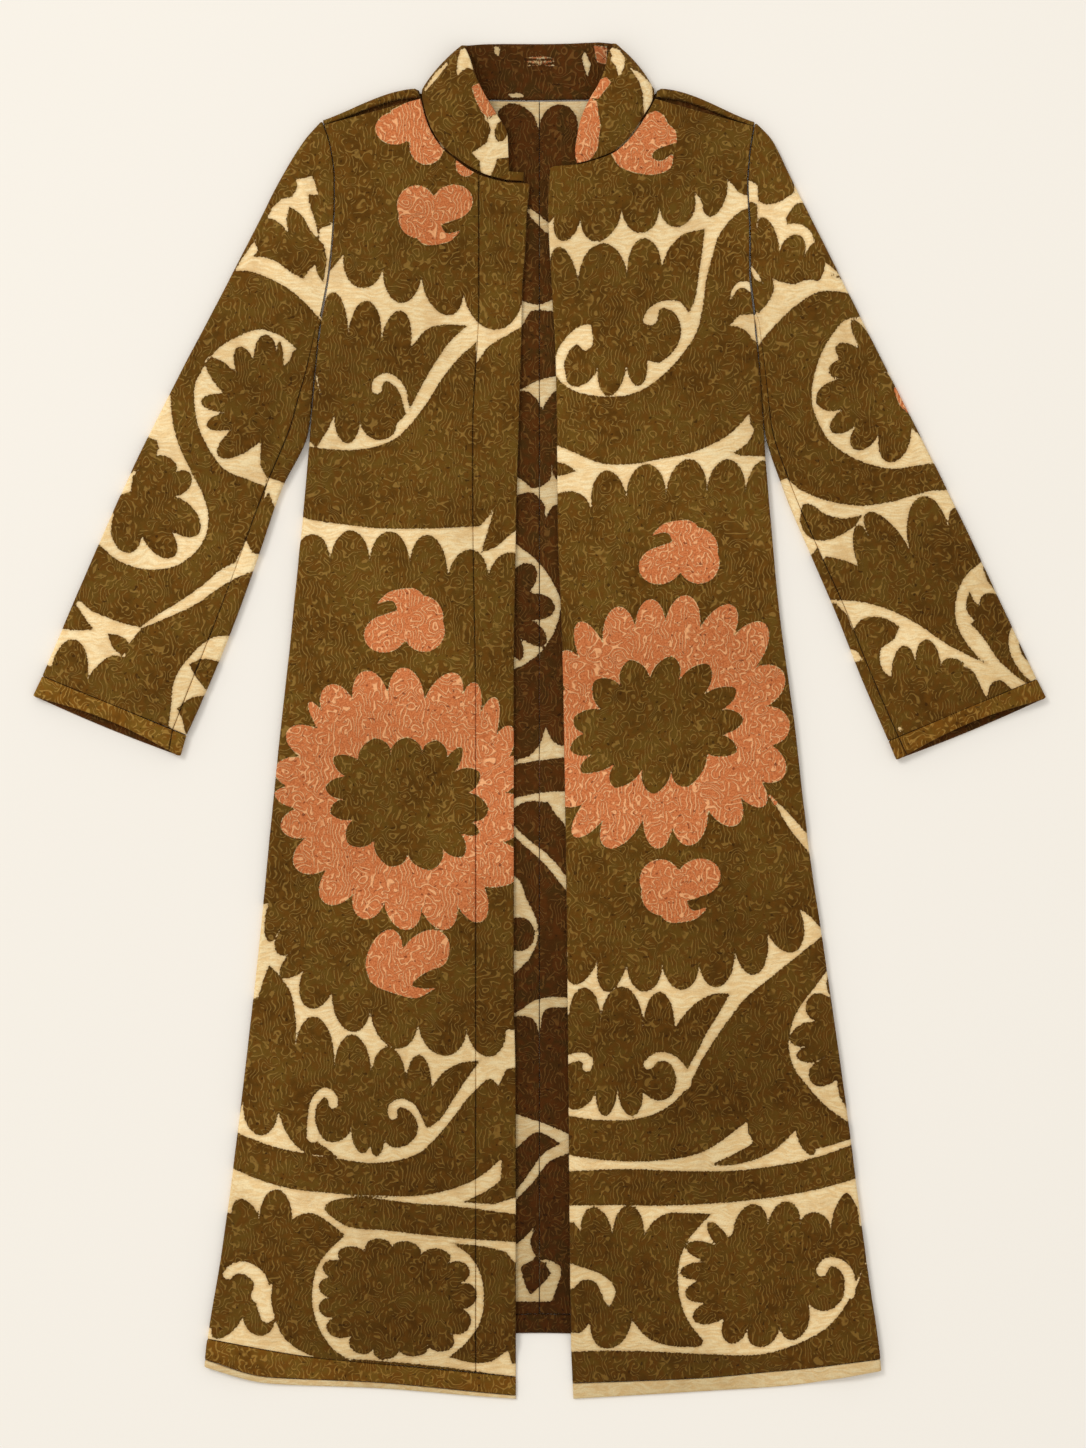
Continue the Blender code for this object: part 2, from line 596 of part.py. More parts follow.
def tube(side, table, step, at_armhole, mouth=False):
    """Rows of points round a flattened tube of cloth, from one side of its seam to the other."""
    rows = stations(table, step)
    seam, rise = rows[:, 4], rows[:, 5]
    outer, inner, outer_in, inner_in = folds_of(side, rows, at_armhole)
    inset = FOLD + WALL / 2
    beside, turns, under, over = TUBE_COLUMNS
    turning = np.linspace(0, math.pi, turns)[1:-1, None]
    middle = (UPPER + LOWER) / 2
    run = along(outer)
    grid = []
    for i in range(len(rows)):
        start = outer[i] + inset * outer_in[i]
        end = inner[i] + inset * inner_in[i]
        width = np.linalg.norm(end - start)
        at_seam = 1 - max(seam[i] - inset, SEAM_CLEAR) / width
        follow = math.exp(-((run[i] / ARMHOLE_REACH) ** 2)) if at_armhole else 0.0
        bulge = partial(armhole_shape, side, follow)
        open_part = i / (len(rows) - 1) if mouth else 0.0
        to_fold = np.linspace(at_seam, 1, beside)
        from_fold = np.linspace(0, at_seam - SEAM / width, over)
        upper = partial(layer, start, end, bulge=bulge, drawn=-MOUTH_BACK * open_part)
        lower = partial(layer, start, end, bulge=bulge, drawn=MOUTH_OUT * open_part)
        grid.append(np.vstack([
            upper(to_fold, height=UPPER + rise[i] * crown(to_fold)),
            np.hstack([end - inner_in[i] * FOLD * np.sin(turning), middle + FOLD * np.cos(turning)]),
            lower(np.linspace(1, 0, under), height=LOWER),
            np.hstack([start - outer_in[i] * FOLD * np.sin(turning), middle - FOLD * np.cos(turning)]),
            upper(from_fold, height=UPPER + rise[i] * crown(from_fold)),
        ]))
    return np.array(grid)


def build_sleeve(side):
    """A sleeve with its seam on the upper layer near the inner fold, and its cuff."""
    sleeve = SLEEVE_RIGHT if side == "right" else SLEEVE_LEFT
    cuff = np.array(CUFF_RIGHT if side == "right" else CUFF_LEFT)
    facing = 1 if side == "right" else -1
    grid = tube(side, sleeve, SLEEVE_STEP, True)
    faces = grid_faces(grid.shape[0], grid.shape[1], facing=facing)
    sheet("sleeve_" + side, grid, faces, OLIVE)
    way = (cuff[1] - cuff[0])[:4].reshape(2, 2)
    cuff[0, :4] += (SEAM * way / np.linalg.norm(way, axis=1)[:, None]).ravel()
    grid = tube(side, cuff, CUFF_STEP, False, mouth=True)
    faces = grid_faces(grid.shape[0], grid.shape[1], facing=facing)
    sheet("cuff_" + side, grid, faces, DARK)


def build_collar():
    """The stand collar: its back lies flat, and its fronts roll over towards the middle."""
    rows = np.array(COLLAR)
    seam, rim, bow = rows[:, 0:3], rows[:, 3:6], rows[:, 6]
    seam = seam + COLLAR_CLEAR * (rim - seam) / np.linalg.norm(rim - seam, axis=1)[:, None]
    way = np.gradient((seam + rim) / 2, axis=0)
    out = np.cross(rim - seam, way)
    out /= np.linalg.norm(out, axis=1)[:, None]
    grid = []
    for part in np.linspace(0, 1, COLLAR_STEPS + 1):
        swell = (bow * 4 * part * (1 - part))[:, None] * out
        grid.append(seam + (rim - seam) * part + swell)
    grid = np.array(grid).transpose(1, 0, 2)
    faces = grid_faces(grid.shape[0], grid.shape[1], facing=-1)
    sheet("collar", grid, faces, OLIVE, COLLAR_WALL)


for item in list(bpy.data.objects):
    bpy.data.objects.remove(item)
collection = bpy.data.collections.new(NAME)
bpy.context.scene.collection.children.link(collection)

build_back("right")
build_back("left")
build_front_right()
build_front_band()
build_front_left()
build_hems()
build_sleeve("right")
build_sleeve("left")
build_collar()
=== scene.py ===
"""A full-length quilted kaftan with a stand collar and a large suzani pattern, laid flat.

Sizes are millimetres in the tables and the shapes: x runs to the wearer's left, y towards the
collar, z up from the surface that the kaftan lies on. The pattern's motifs and the creases are
placed in pixels of the photograph's 1086 x 1448 frame. PIXEL, PLAN_X and PLAN_Y tie the two together.
"""

import math
from functools import partial

import bpy
import numpy as np
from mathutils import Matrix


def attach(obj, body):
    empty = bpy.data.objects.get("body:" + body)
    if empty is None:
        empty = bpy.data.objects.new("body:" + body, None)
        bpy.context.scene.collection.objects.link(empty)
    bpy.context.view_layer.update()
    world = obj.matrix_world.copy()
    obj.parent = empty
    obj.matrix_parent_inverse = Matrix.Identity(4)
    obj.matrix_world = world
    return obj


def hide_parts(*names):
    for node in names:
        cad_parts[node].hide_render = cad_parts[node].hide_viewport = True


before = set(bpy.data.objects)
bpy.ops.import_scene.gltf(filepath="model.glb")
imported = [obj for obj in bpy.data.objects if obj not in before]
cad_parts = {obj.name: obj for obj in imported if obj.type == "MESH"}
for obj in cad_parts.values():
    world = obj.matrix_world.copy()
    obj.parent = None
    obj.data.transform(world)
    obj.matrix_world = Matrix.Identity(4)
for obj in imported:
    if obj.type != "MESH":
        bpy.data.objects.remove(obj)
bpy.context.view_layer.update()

MM = 0.001
PIXEL = 0.96  # millimetres of cloth for each pixel of the photograph
PLAN_X = 539.5  # the pixel at x = 0, y = 0
PLAN_Y = 720.8

WALL = 3.0  # thickness of the quilted cloth
COLLAR_WALL = 3.6
SEAM = 0.12  # gap between two pieces that are sewn edge to edge
ARMHOLE_SEAM = 0.12
STRIP_SEAM = 0.2
LOWER = WALL / 2  # height of the middle of the cloth that lies on the floor
UPPER = 5.8  # height of the middle of the cloth that lies on it
FOLD = (UPPER - LOWER) / 2
SIDE_LIP = 0.25
SIDE_FOLD = FOLD - SEAM / 2 - SIDE_LIP

FINE = 2.25  # spacing of the points on a front
RAISED = 0.5  # how far the stitched figures stand above the plain cloth
PAD = 2.2  # half the width of the slope at their edges
SLEEVE_FINE = 2.6
BACK_FINE = 4.2
COARSE = 4  # points of the face for each point of a hidden side
NEAR_EDGE = np.array([0.0, 0.5, 1.4])  # distances from an edge of the points that round it
ROUND = np.array([0.0, 0.75, 1.0])  # the part of the half wall that the cloth has there
FLAT_EDGE = 2.8  # how far the points that round a folded edge reach in where it lies flat
FOLD_STEPS = 6
SHOULDER_STEPS = 11
TURN_STEPS = 9

# Points across each piece.
RIGHT_COLUMNS = 112
BAND_COLUMNS = 17
LEFT_COLUMNS = 126
STRIP_COLUMNS = 130
BACK_HEM_COLUMNS = 240
BACK_OUTER, BACK_NECK, BACK_MIDDLE = 24, 18, 24
TUBE_COLUMNS = 62
UNDER_COLUMNS = 30

# The garment's lines, as the solids have them, but the sleeves lie a little nearer to the body.
# Side seam and armhole: y, x.
SIDE_RIGHT = [
    (-650, -325.0), (-594, -318.2), (-518, -305.8), (-364, -285.6), (-210, -268.3), (-134, -260.6),
    (-18, -249.1), (97, -236.6), (212, -225.1), (346, -213.6), (385, -208.8), (400, -205.9),
    (429, -201.1), (470, -197.3), (492, -196.3), (519, -196.3), (550, -200.2), (571.5, -206.7),
]
SIDE_LEFT = [
    (-650, 330.5), (-594, 324.5), (-518, 313.4), (-364, 293.3), (-210, 271.2), (-134, 259.7),
    (-18, 246.2), (97, 230.9), (212, 219.8), (346, 209.8), (387, 205.6), (400, 204.0),
    (430, 201.1), (471, 201.1), (512, 199.2), (542, 201.1), (570.1, 205.4),
]
UNDERARM_Y = {"right": 385.0, "left": 387.0}
UNDERARM_TURN = 32.0
UNDERARM_POWER = 4.0

# Front edges and the seam of the strip along the right one: y, x.
EDGE_RIGHT = [
    (-650, -22.6), (-364, -22.6), (-249, -24.5), (20, -24.5), (174, -22.6), (346, -17.8),
    (423, -15.8), (443, -13.9), (483, -12.0), (514, -9.0),
]
EDGE_LEFT = [
    (-651, 32.6), (-594, 30.2), (-221, 26.4), (20, 22.9), (116, 20.2), (174, 17.5), (265, 16.8),
    (339, 15.6), (443, 10.1), (491, 8.2), (531, 10.1),
]
BAND_SEAM = [(-650, -61.0), (0, -61.0), (212, -63.8), (279, -63.8), (403, -58.0), (523.3, -58.0)]

# Neck edges: x, y.
NECK_BAND = [(-58.0, 523.3), (-52.3, 521.5), (-31.2, 516.3), (-13.9, 515.3), (-9.0, 514.0)]
NECK_RIGHT = [
    (-58.0, 523.3), (-68.5, 529.0), (-78.2, 536.4), (-93.6, 549.9), (-106.1, 570.0),
    (-113.8, 596.2),
]
NECK_LEFT = [
    (10.1, 531.0), (35.0, 532.6), (53.3, 537.4), (70.6, 544.1), (86.9, 558.5), (99.4, 575.8),
    (110.8, 596.1),
]
NECK_BACK = [(0, 594.0), (52, 594.6), (66.7, 595.0), (95.5, 597.4), (107.0, 599.4)]
SHOULDER = {
    "right": {"tip": (-206.7, 571.5), "neck": (-115.8, 602.2)},
    "left": {"tip": (205.4, 570.1), "neck": (112.9, 602.1)},
}
FLAP_AT_TIP = 0.5  # how far the back's cloth reaches past the shoulder's fold
FLAP_AT_NECK = 6.0

# Lines across the fronts and the back at the hem: x, y.
HEM_RIGHT = [(-321.2, -619.4), (-259.7, -635.7), (-153.1, -640.5), (-57.1, -648.2), (-22.6, -650.6)]
HEM_BAND_TOP = [(-317.9, -592.5), (-216.5, -609.8), (-61.0, -625.6), (-22.6, -629.5)]
BINDING_WIDTHS = (7.6, 6.4, 5.4, 4.0, 3.2)
HEM_LEFT = [(32.6, -650.6), (154.1, -643.4), (239.5, -637.6), (327.4, -623.2)]
BINDING_TOP_LEFT = [(31.2, -635.7), (154.1, -630.9), (239.5, -622.3), (326.4, -611.7)]
HEM_BACK = [(-321.2, -618.0), (-160, -597.0), (0, -587.4), (160, -598.0), (327.0, -621.5)]
BACK_HEM_DEPTH = 18.2

# Where the pieces' edges meet the hem: x.
SIDE_FOOT_RIGHT = -318.0
SEAM_FOOT = -61.0
EDGE_FOOT_RIGHT = -22.6
EDGE_FOOT_LEFT = 31.2
SIDE_FOOT_LEFT = 326.0
HEM_END_RIGHT = -321.0
STRIP_END_LEFT = 32.0
HEM_END_LEFT = 327.0
BACK_SIDE_FOOT = 320.0
CENTRE_WIDTH = 46.0  # the middle part of a back half, beside the centre seam
LEVEL_FROM = -300.0  # above it, each row of a front is level
JOINT_SHARE = 7  # the part of the neck that the right front's rows pass at the strip's top
JOINT_ROWS = 5

# Flattened sleeves. Columns: outer x, outer y, inner x, inner y, seam from the inner fold, rise.
SLEEVE_RIGHT = [
    (-207.8, 574.8, -208.8, 384.8, 5.0, 0.0),
    (-224.2, 557.6, -210.8, 377.1, 6.5, 0.8),
    (-244.3, 525.9, -212.7, 360.8, 9.0, 1.6),
    (-272.2, 471.2, -216.5, 323.3, 15.5, 2.4),
    (-304.8, 407.8, -221.5, 277.2, 23.0, 2.8),
    (-339.4, 342.5, -248.2, 219.6, 17.0, 2.8),
    (-376.8, 268.6, -268.3, 161.1, 18.0, 2.4),
    (-410.4, 196.6, -289.4, 101.6, 18.0, 2.6),
    (-444.0, 118.8, -313.4, 42.0, 17.0, 2.6),
    (-476.6, 43.0, -338.4, -13.6, 14.0, 2.4),
]
SLEEVE_LEFT = [
    (206.5, 573.4, 205.6, 387.0, 5.0, 0.0),
    (221.8, 557.6, 207.6, 377.1, 6.0, 0.8),
    (237.6, 526.8, 209.2, 360.8, 6.5, 1.6),
    (265.4, 471.2, 212.4, 323.3, 8.0, 2.4),
    (297.1, 407.8, 215.9, 279.2, 9.0, 2.8),
    (329.8, 342.5, 233.8, 221.6, 9.0, 2.8),
    (367.2, 268.6, 259.2, 161.1, 9.0, 2.4),
    (402.7, 196.6, 284.8, 101.6, 10.0, 2.6),
    (439.2, 118.8, 308.2, 42.0, 10.0, 2.6),
    (476.6, 40.1, 334.6, -19.4, 10.0, 2.4),
]
CUFF_RIGHT = [(-476.6, 43.0, -338.4, -13.6, 14.0, 2.4), (-485.3, 23.8, -344.2, -33.8, 12.0, 3.0)]
CUFF_LEFT = [(476.6, 40.1, 334.6, -19.4, 10.0, 2.4), (485.3, 21.9, 342.2, -37.6, 11.0, 3.0)]
MOUTH_BACK = 6.0  # how far the upper layer is drawn back at a cuff's mouth
MOUTH_OUT = 1.5
ARMHOLE_REACH = 60.0  # how far down a sleeve the armhole's curve is felt
ARMHOLE_TURN = 14.0
UNDERARM_WAY = (0.45, 0.89)  # the way into the cloth where a sleeve's inner fold starts
SEAM_CLEAR = 0.6  # nearest that a sleeve's seam comes to its inner fold
CROWN_POWER = 0.8

# The collar. Columns: seam x, seam y, seam z, rim x, rim y, rim z, bow.
COLLAR = [
    (-15.0, 516.2, 5.7, -14.4, 525.2, 6.3, 0.0),
    (-31.2, 517.4, 5.7, -29.3, 526.8, 6.5, 0.0),
    (-39.8, 519.4, 5.7, -30.2, 542.2, 8.5, 1.0),
    (-52.0, 522.9, 5.7, -30.7, 559.5, 11.5, 2.0),
    (-77.7, 537.4, 5.7, -40.8, 579.6, 16.0, 4.0),
    (-93.0, 550.7, 5.7, -52.3, 597.9, 19.5, 5.0),
    (-105.3, 570.6, 5.7, -61.9, 618.0, 21.0, 5.5),
    (-111.0, 590.0, 5.9, -66.5, 632.4, 19.5, 5.0),
    (-112.4, 600.0, 5.3, -70.0, 641.0, 15.5, 4.0),
    (-110.2, 604.8, 3.9, -71.8, 645.2, 10.5, 3.0),
    (-107.0, 602.6, 2.2, -69.5, 646.8, 6.0, 1.0),
    (-100.5, 599.4, 1.8, -63.0, 648.0, 3.4, 0.0),
    (-85.0, 597.2, 1.8, -50.0, 649.0, 2.3, 0.0),
    (-50.0, 595.0, 1.8, -30.0, 649.3, 2.0, 0.0),
    (0.0, 594.4, 1.8, 0.0, 649.2, 1.9, 0.0),
    (30.0, 594.8, 1.8, 30.0, 649.7, 2.0, 0.0),
    (52.0, 595.3, 1.8, 45.0, 650.4, 2.2, 0.0),
    (84.0, 597.2, 1.8, 56.0, 650.6, 3.2, 0.0),
    (98.0, 599.4, 1.8, 64.0, 649.6, 5.0, 0.0),
    (104.6, 602.6, 2.2, 69.6, 648.4, 7.5, 1.0),
    (107.6, 604.8, 3.9, 71.2, 647.0, 11.0, 3.0),
    (109.5, 600.0, 5.3, 69.6, 643.4, 15.5, 4.0),
    (106.8, 590.5, 5.9, 66.0, 638.0, 19.0, 5.0),
    (98.2, 577.2, 5.7, 63.0, 625.0, 21.0, 5.5),
    (86.4, 559.3, 5.7, 56.5, 608.0, 20.0, 5.0),
    (70.2, 544.9, 5.7, 47.0, 592.0, 17.0, 4.0),
    (60.0, 540.5, 5.7, 39.5, 574.0, 13.0, 3.0),
    (53.0, 538.1, 5.7, 36.5, 560.0, 10.5, 2.0),
    (43.0, 535.4, 5.7, 35.0, 549.0, 8.5, 1.0),
    (36.0, 533.6, 5.7, 34.6, 541.0, 7.0, 0.0),
]
COLLAR_CLEAR = 0.8  # between the collar and the cloth that it is sewn to
COLLAR_STEP = 1.6
COLLAR_DEPTH = 50.0
COLLAR_FINE = 1.8

SWELL = 2.0  # how far a front rises between its side and its edge
SWELL_WIDTH = 40.0
EDGE_SINK = 0.6
SINK_WIDTH = 12.0
RIPPLE = 0.35
RIPPLE_X, RIPPLE_Y, RIPPLE_START = 55, 90, 1.3
NECK_FLAT_Y = 510.0
NECK_FADE = 120.0
HEM_CLEAR = 2
HEM_FALL = 22.0  # over so much cloth, a front comes down to the floor past the back's hem

# Creases. Columns: the ends x, y and x, y in pixels, half the width, and how far it rises.
CREASES = {
    "front_left": [
        (611, 445, 588, 502, 3.5, -0.8), (685, 454, 692, 512, 2.5, -0.5),
        (553, 209, 604, 168, 9, -1.2), (566, 176, 600, 150, 6, 0.8),
        (584, 1296, 584, 1398, 2.0, -0.5), (742, 140, 747, 330, 5, 0.9),
        (660, 560, 720, 600, 9, -0.5),
    ],
    "front_right": [
        (330, 150, 331, 250, 7, 0.9), (455, 190, 430, 280, 8, -0.6), (470, 200, 470, 300, 7, 0.6),
        (330, 700, 350, 900, 12, 0.6), (420, 860, 400, 1000, 12, -0.6),
    ],
    "front_band_right": [(497, 200, 498, 520, 6, 0.5)],
    "sleeve_right": [
        (311, 140, 320, 245, 2.4, -1.7), (300, 150, 313, 250, 4.0, 1.2),
        (313, 175, 333, 236, 2.0, -1.0), (318, 300, 262, 478, 5.0, -1.5),
        (305, 300, 250, 470, 6.0, 1.2), (262, 478, 200, 700, 5.0, -0.8),
    ],
    "sleeve_left": [
        (757, 190, 760, 330, 5.0, -1.4), (771, 200, 768, 330, 5.0, 1.0),
        (765, 300, 790, 460, 6.0, -1.2), (905, 360, 935, 470, 5.0, -0.6),
        (880, 200, 850, 290, 10.0, -0.5),
    ],
}
WANDER = 0.25  # how far a crease strays from its line, for its half width
WANDER_TURN = 9
TAPER = 0.3  # the part of a crease over which each end fades


def slopes(place, rows):
    """A slope for each row of a table, so that the line through the rows never swings past one."""
    step = np.diff(rows, axis=0) / np.diff(place)[:, None]
    before, after = step[:-1], step[1:]
    same_way = before * after > 0
    total = np.where(same_way, before + after, 1.0)
    inner = np.where(same_way, 2 * before * after / total, 0.0)
    return np.vstack([step[:1], inner, step[-1:]])


def read(place, rows, at):
    """The table's columns, read from a smooth line through its rows at the given places."""
    rows = np.array(rows, float)
    tangent = slopes(place, rows)
    at = np.clip(at, place[0], place[-1])
    i = np.clip(np.searchsorted(place, at, side="right") - 1, 0, len(place) - 2)
    width = (place[i + 1] - place[i])[:, None]
    t = (at - place[i])[:, None] / width
    start = (1 + 2 * t) * (1 - t) ** 2 * rows[i] + t * (1 - t) ** 2 * width * tangent[i]
    end = t**2 * (3 - 2 * t) * rows[i + 1] + t**2 * (t - 1) * width * tangent[i + 1]
    return start + end


def lookup(table, at):
    """The second column of a table at values of its first."""
    table = np.array(table, float)
    at = np.atleast_1d(np.asarray(at, float))
    return read(table[:, 0], table[:, 1:], at.ravel())[:, 0].reshape(at.shape)


def along(points):
    """How far each point is along the line through them."""
    points = np.asarray(points, float)
    steps = np.linalg.norm(np.diff(points, axis=0), axis=1)
    return np.concatenate([[0], np.cumsum(steps)])


def spaced(points, fractions):
    """Points on the smooth line through these ones, at fractions of its length."""
    place = along(points)
    return read(place, points, np.asarray(fractions) * place[-1])


def ease(t):
    """A smooth step from 0 to 1."""
    t = np.clip(t, 0, 1)
    return t * t * (3 - 2 * t)


def edge_line(table, levels):
    """Points of an edge at the given heights of the garment."""
    return np.stack([lookup(table, levels), levels], axis=1)


def run(start, end, step):
    """Places from start to end, a step apart, with closer ones that round the edge at each end."""
    margin = NEAR_EDGE[-1]
    count = max(2, round((end - start - 2 * margin) / step) + 1)
    inner = np.linspace(start + margin, end - margin, count)
    return np.concatenate([start + NEAR_EDGE[:-1], inner, end - NEAR_EDGE[-2::-1]])


def noise(x, y, seed):
    """Smooth random values from -1 to 1, one lattice cell for each unit of x and y."""
    cell_x, cell_y = np.floor(x), np.floor(y)
    u, v = x - cell_x, y - cell_y
    u, v = u * u * (3 - 2 * u), v * v * (3 - 2 * v)

    def corner(i, j):
        """A fixed random value for a lattice point."""
        value = np.sin((cell_x + i) * 127.1 + (cell_y + j) * 311.7 + seed * 74.7) * 43758.5453
        return 2 * (value - np.floor(value)) - 1

    low = corner(0, 0) * (1 - u) + corner(1, 0) * u
    high = corner(0, 1) * (1 - u) + corner(1, 1) * u
    return low * (1 - v) + high * v


def front_height(side, x, y):
    """Height of a front's middle surface above the surface that the kaftan lies on."""
    if side == "right":
        from_side = x - lookup(SIDE_RIGHT, y)
        from_edge = lookup(EDGE_RIGHT, y) - x
    else:
        from_side = lookup(SIDE_LEFT, y) - x
        from_edge = x - lookup(EDGE_LEFT, y)
    from_side = np.maximum(from_side, 0)
    from_edge = np.maximum(from_edge, 0)
    inside = 1 - np.exp(-from_side / SWELL_WIDTH)
    swell = inside * (1 - np.exp(-from_edge / SWELL_WIDTH))
    ripple = RIPPLE * np.sin(x / RIPPLE_X + RIPPLE_START) * np.sin(y / RIPPLE_Y)
    below_neck = ease((NECK_FLAT_Y - y) / NECK_FADE)
    sink = EDGE_SINK * np.exp(-from_edge / SINK_WIDTH) * below_neck
    height = UPPER + swell * (SWELL + ripple) * below_neck - sink
    past_back = lookup(HEM_BACK, x) - y
    fall = ease((past_back - HEM_CLEAR) / HEM_FALL) * inside
    return height + (LOWER - height) * fall


def patch(left, right, lower, upper, height, folds, turn, across):
    """Middle surface of a panel in rows from left to right, with folds and turn as the solids."""
    middle = (left + right)[:, 1] / 2
    fade = (middle - middle[0]) / (middle[-1] - middle[0])
    angles = np.radians(np.linspace(90, 0, FOLD_STEPS + 1))
    round_edge = WALL / 2 + SIDE_FOLD * (1 - np.sin(angles))
    round_turn = SIDE_FOLD * (1 - np.cos(angles))
    round_edge = np.append(round_edge[0], round_edge)
    round_turn = np.append(round_turn[0] + SIDE_LIP, round_turn)
    flat_edge = np.linspace(0, FLAT_EDGE, len(round_edge))
    grid = []
    for i in range(len(left)):
        span = right[i] - left[i]
        width = np.linalg.norm(span)
        insets, turns = [], []
        for end, folded in ((left, folds[0]), (right, folds[1])):
            underarm = UNDERARM_Y["right" if end[i, 0] < 0 else "left"]
            fold = folded * float(ease((underarm - end[i, 1]) / UNDERARM_TURN))
            inset = fold * round_edge + (1 - fold) * flat_edge
            insets.append(inset if folded else NEAR_EDGE)
            turns.append(turn * fold**UNDERARM_POWER * round_turn if folded else 0 * NEAR_EDGE)
        start, end = insets[0][-1], width - insets[1][-1]
        reach = np.concatenate([
            insets[0][:-1],
            start + (end - start) * across,
            width - insets[1][-2::-1],
        ])
        lift = np.concatenate([turns[0][:-1], np.zeros(len(across)), turns[1][-2::-1]])
        flat = left[i] + reach[:, None] * span / width
        part = reach / width
        for line, weight, row in ((lower, 1 - fade[i], 0), (upper, fade[i], -1)):
            if line is None:
                continue
            x = left[row, 0] + part * (right[row, 0] - left[row, 0])
            chord = left[row, 1] + part * (right[row, 1] - left[row, 1])
            flat[:, 1] += weight * (lookup(line, x) - chord)
        z = height(flat[:, 0], flat[:, 1]) + lift
        grid.append(np.column_stack([flat, z]))
    return np.array(grid)


def back_height(x, y):
    """Height of the back's middle surface: it lies flat."""
    return np.full(np.shape(x), LOWER)


def square_to(grid):
    """Unit normals of a grid of points."""
    padded = np.pad(grid, ((1, 1), (1, 1), (0, 0)), mode="edge")
    down = padded[2:, 1:-1] - padded[:-2, 1:-1]
    across = padded[1:-1, 2:] - padded[1:-1, :-2]
    normal = np.cross(across, down)
    return normal / np.maximum(np.linalg.norm(normal, axis=2, keepdims=True), 1e-9)


def every(count, step):
    """Indices of a coarse grid over a dense one: both ends, the rows that round them, and between."""
    inner = list(range(2, count - 3, step))
    return np.array([0, *inner, count - 3, count - 1])


def dense_faces(ids):
    """Faces between the points of a grid, as rows of four."""
    corners = [ids[:-1, :-1], ids[:-1, 1:], ids[1:, 1:], ids[1:, :-1]]
    return np.stack(corners, axis=-1).reshape(-1, 4)


def coarse_faces(ids, step):
    """Faces of a coarser grid over a dense one, which keep every point of its border."""
    rows, columns = every(ids.shape[0], step), every(ids.shape[1], step)
    last_row, last_column = ids.shape[0] - 1, ids.shape[1] - 1
    faces = []
    for r0, r1 in zip(rows[:-1], rows[1:]):
        for c0, c1 in zip(columns[:-1], columns[1:]):
            low = ids[r0, c0 : c1 + 1] if r0 == 0 else ids[r0, [c0, c1]]
            right = ids[r0 : r1 + 1, c1] if c1 == last_column else ids[[r0, r1], c1]
            high = ids[r1, c0 : c1 + 1] if r1 == last_row else ids[r1, [c0, c1]]
            left = ids[r0 : r1 + 1, c0] if c0 == 0 else ids[[r0, r1], c0]
            loop = np.concatenate([low[:-1], right[:-1], high[::-1][:-1], left[::-1][:-1]])
            faces.append(loop[::-1].tolist())
    return faces


def rounding(count):
    """The part of the half wall that each row or column of a grid has."""
    part = np.ones(count)
    part[: len(ROUND)] = ROUND
    part[-len(ROUND) :] = np.minimum(part[-len(ROUND) :], ROUND[::-1])
    return part


def unevenness(x, y):
    """How the cloth's face rises and sinks at random, in millimetres."""
    return 0.55 * noise(x / 62, y / 62, 1) + 0.22 * noise(x / 23, y / 23, 2)


def cloth(name, grid, pattern, facing=1, wall=WALL, step=COARSE, skip=None):
    """A closed shell round a middle surface, its face dense and its inside coarser.

    facing is 1 where the grid's own normal points out of the cloth's face. skip marks grid cells
    that aren't there, and then both sides are dense.
    """
    normal = square_to(grid) * facing
    part = rounding(grid.shape[0])[:, None] * rounding(grid.shape[1])[None, :]
    shape = grid.shape[:2]
    border = np.zeros(shape, bool)
    border[[0, -1]] = True
    border[:, [0, -1]] = True
    if skip is not None:
        there = np.pad(~skip, 1)
        corner_count = there[:-1, :-1] & there[:-1, 1:] & there[1:, :-1] & there[1:, 1:]
        border |= ~corner_count
        part[border] = 0
    count = grid.shape[0] * grid.shape[1]
    face = grid + normal * (wall / 2 * part)[..., None]
    inside = grid - normal * (wall / 2 * part)[..., None]
    points = np.concatenate([face.reshape(-1, 3), inside.reshape(-1, 3)])
    values = pattern(points, np.arange(len(points)) >= count)
    to_thread = np.minimum(values["olive"], values["coral"])[:count].reshape(shape)
    lift = RAISED * ease((PAD - to_thread) / (2 * PAD)) + unevenness(grid[..., 0], grid[..., 1])
    lift += crease(grid[..., 0], grid[..., 1], CREASES.get(name, []))
    face += normal * (lift * part * np.clip(2 * normal[..., 2], 0, 1))[..., None]
    face_ids = np.arange(count).reshape(shape)
    inside_ids = np.where(border, face_ids, face_ids + count)
    if skip is None:
        faces = dense_faces(face_ids).tolist()
        inner = coarse_faces(inside_ids, step)
    else:
        kept = ~skip.ravel()
        faces = dense_faces(face_ids)[kept].tolist()
        inner = dense_faces(inside_ids)[kept][:, ::-1].tolist()
    points = np.concatenate([face.reshape(-1, 3), inside.reshape(-1, 3)])
    return build(name, points, faces, inner, facing, values)


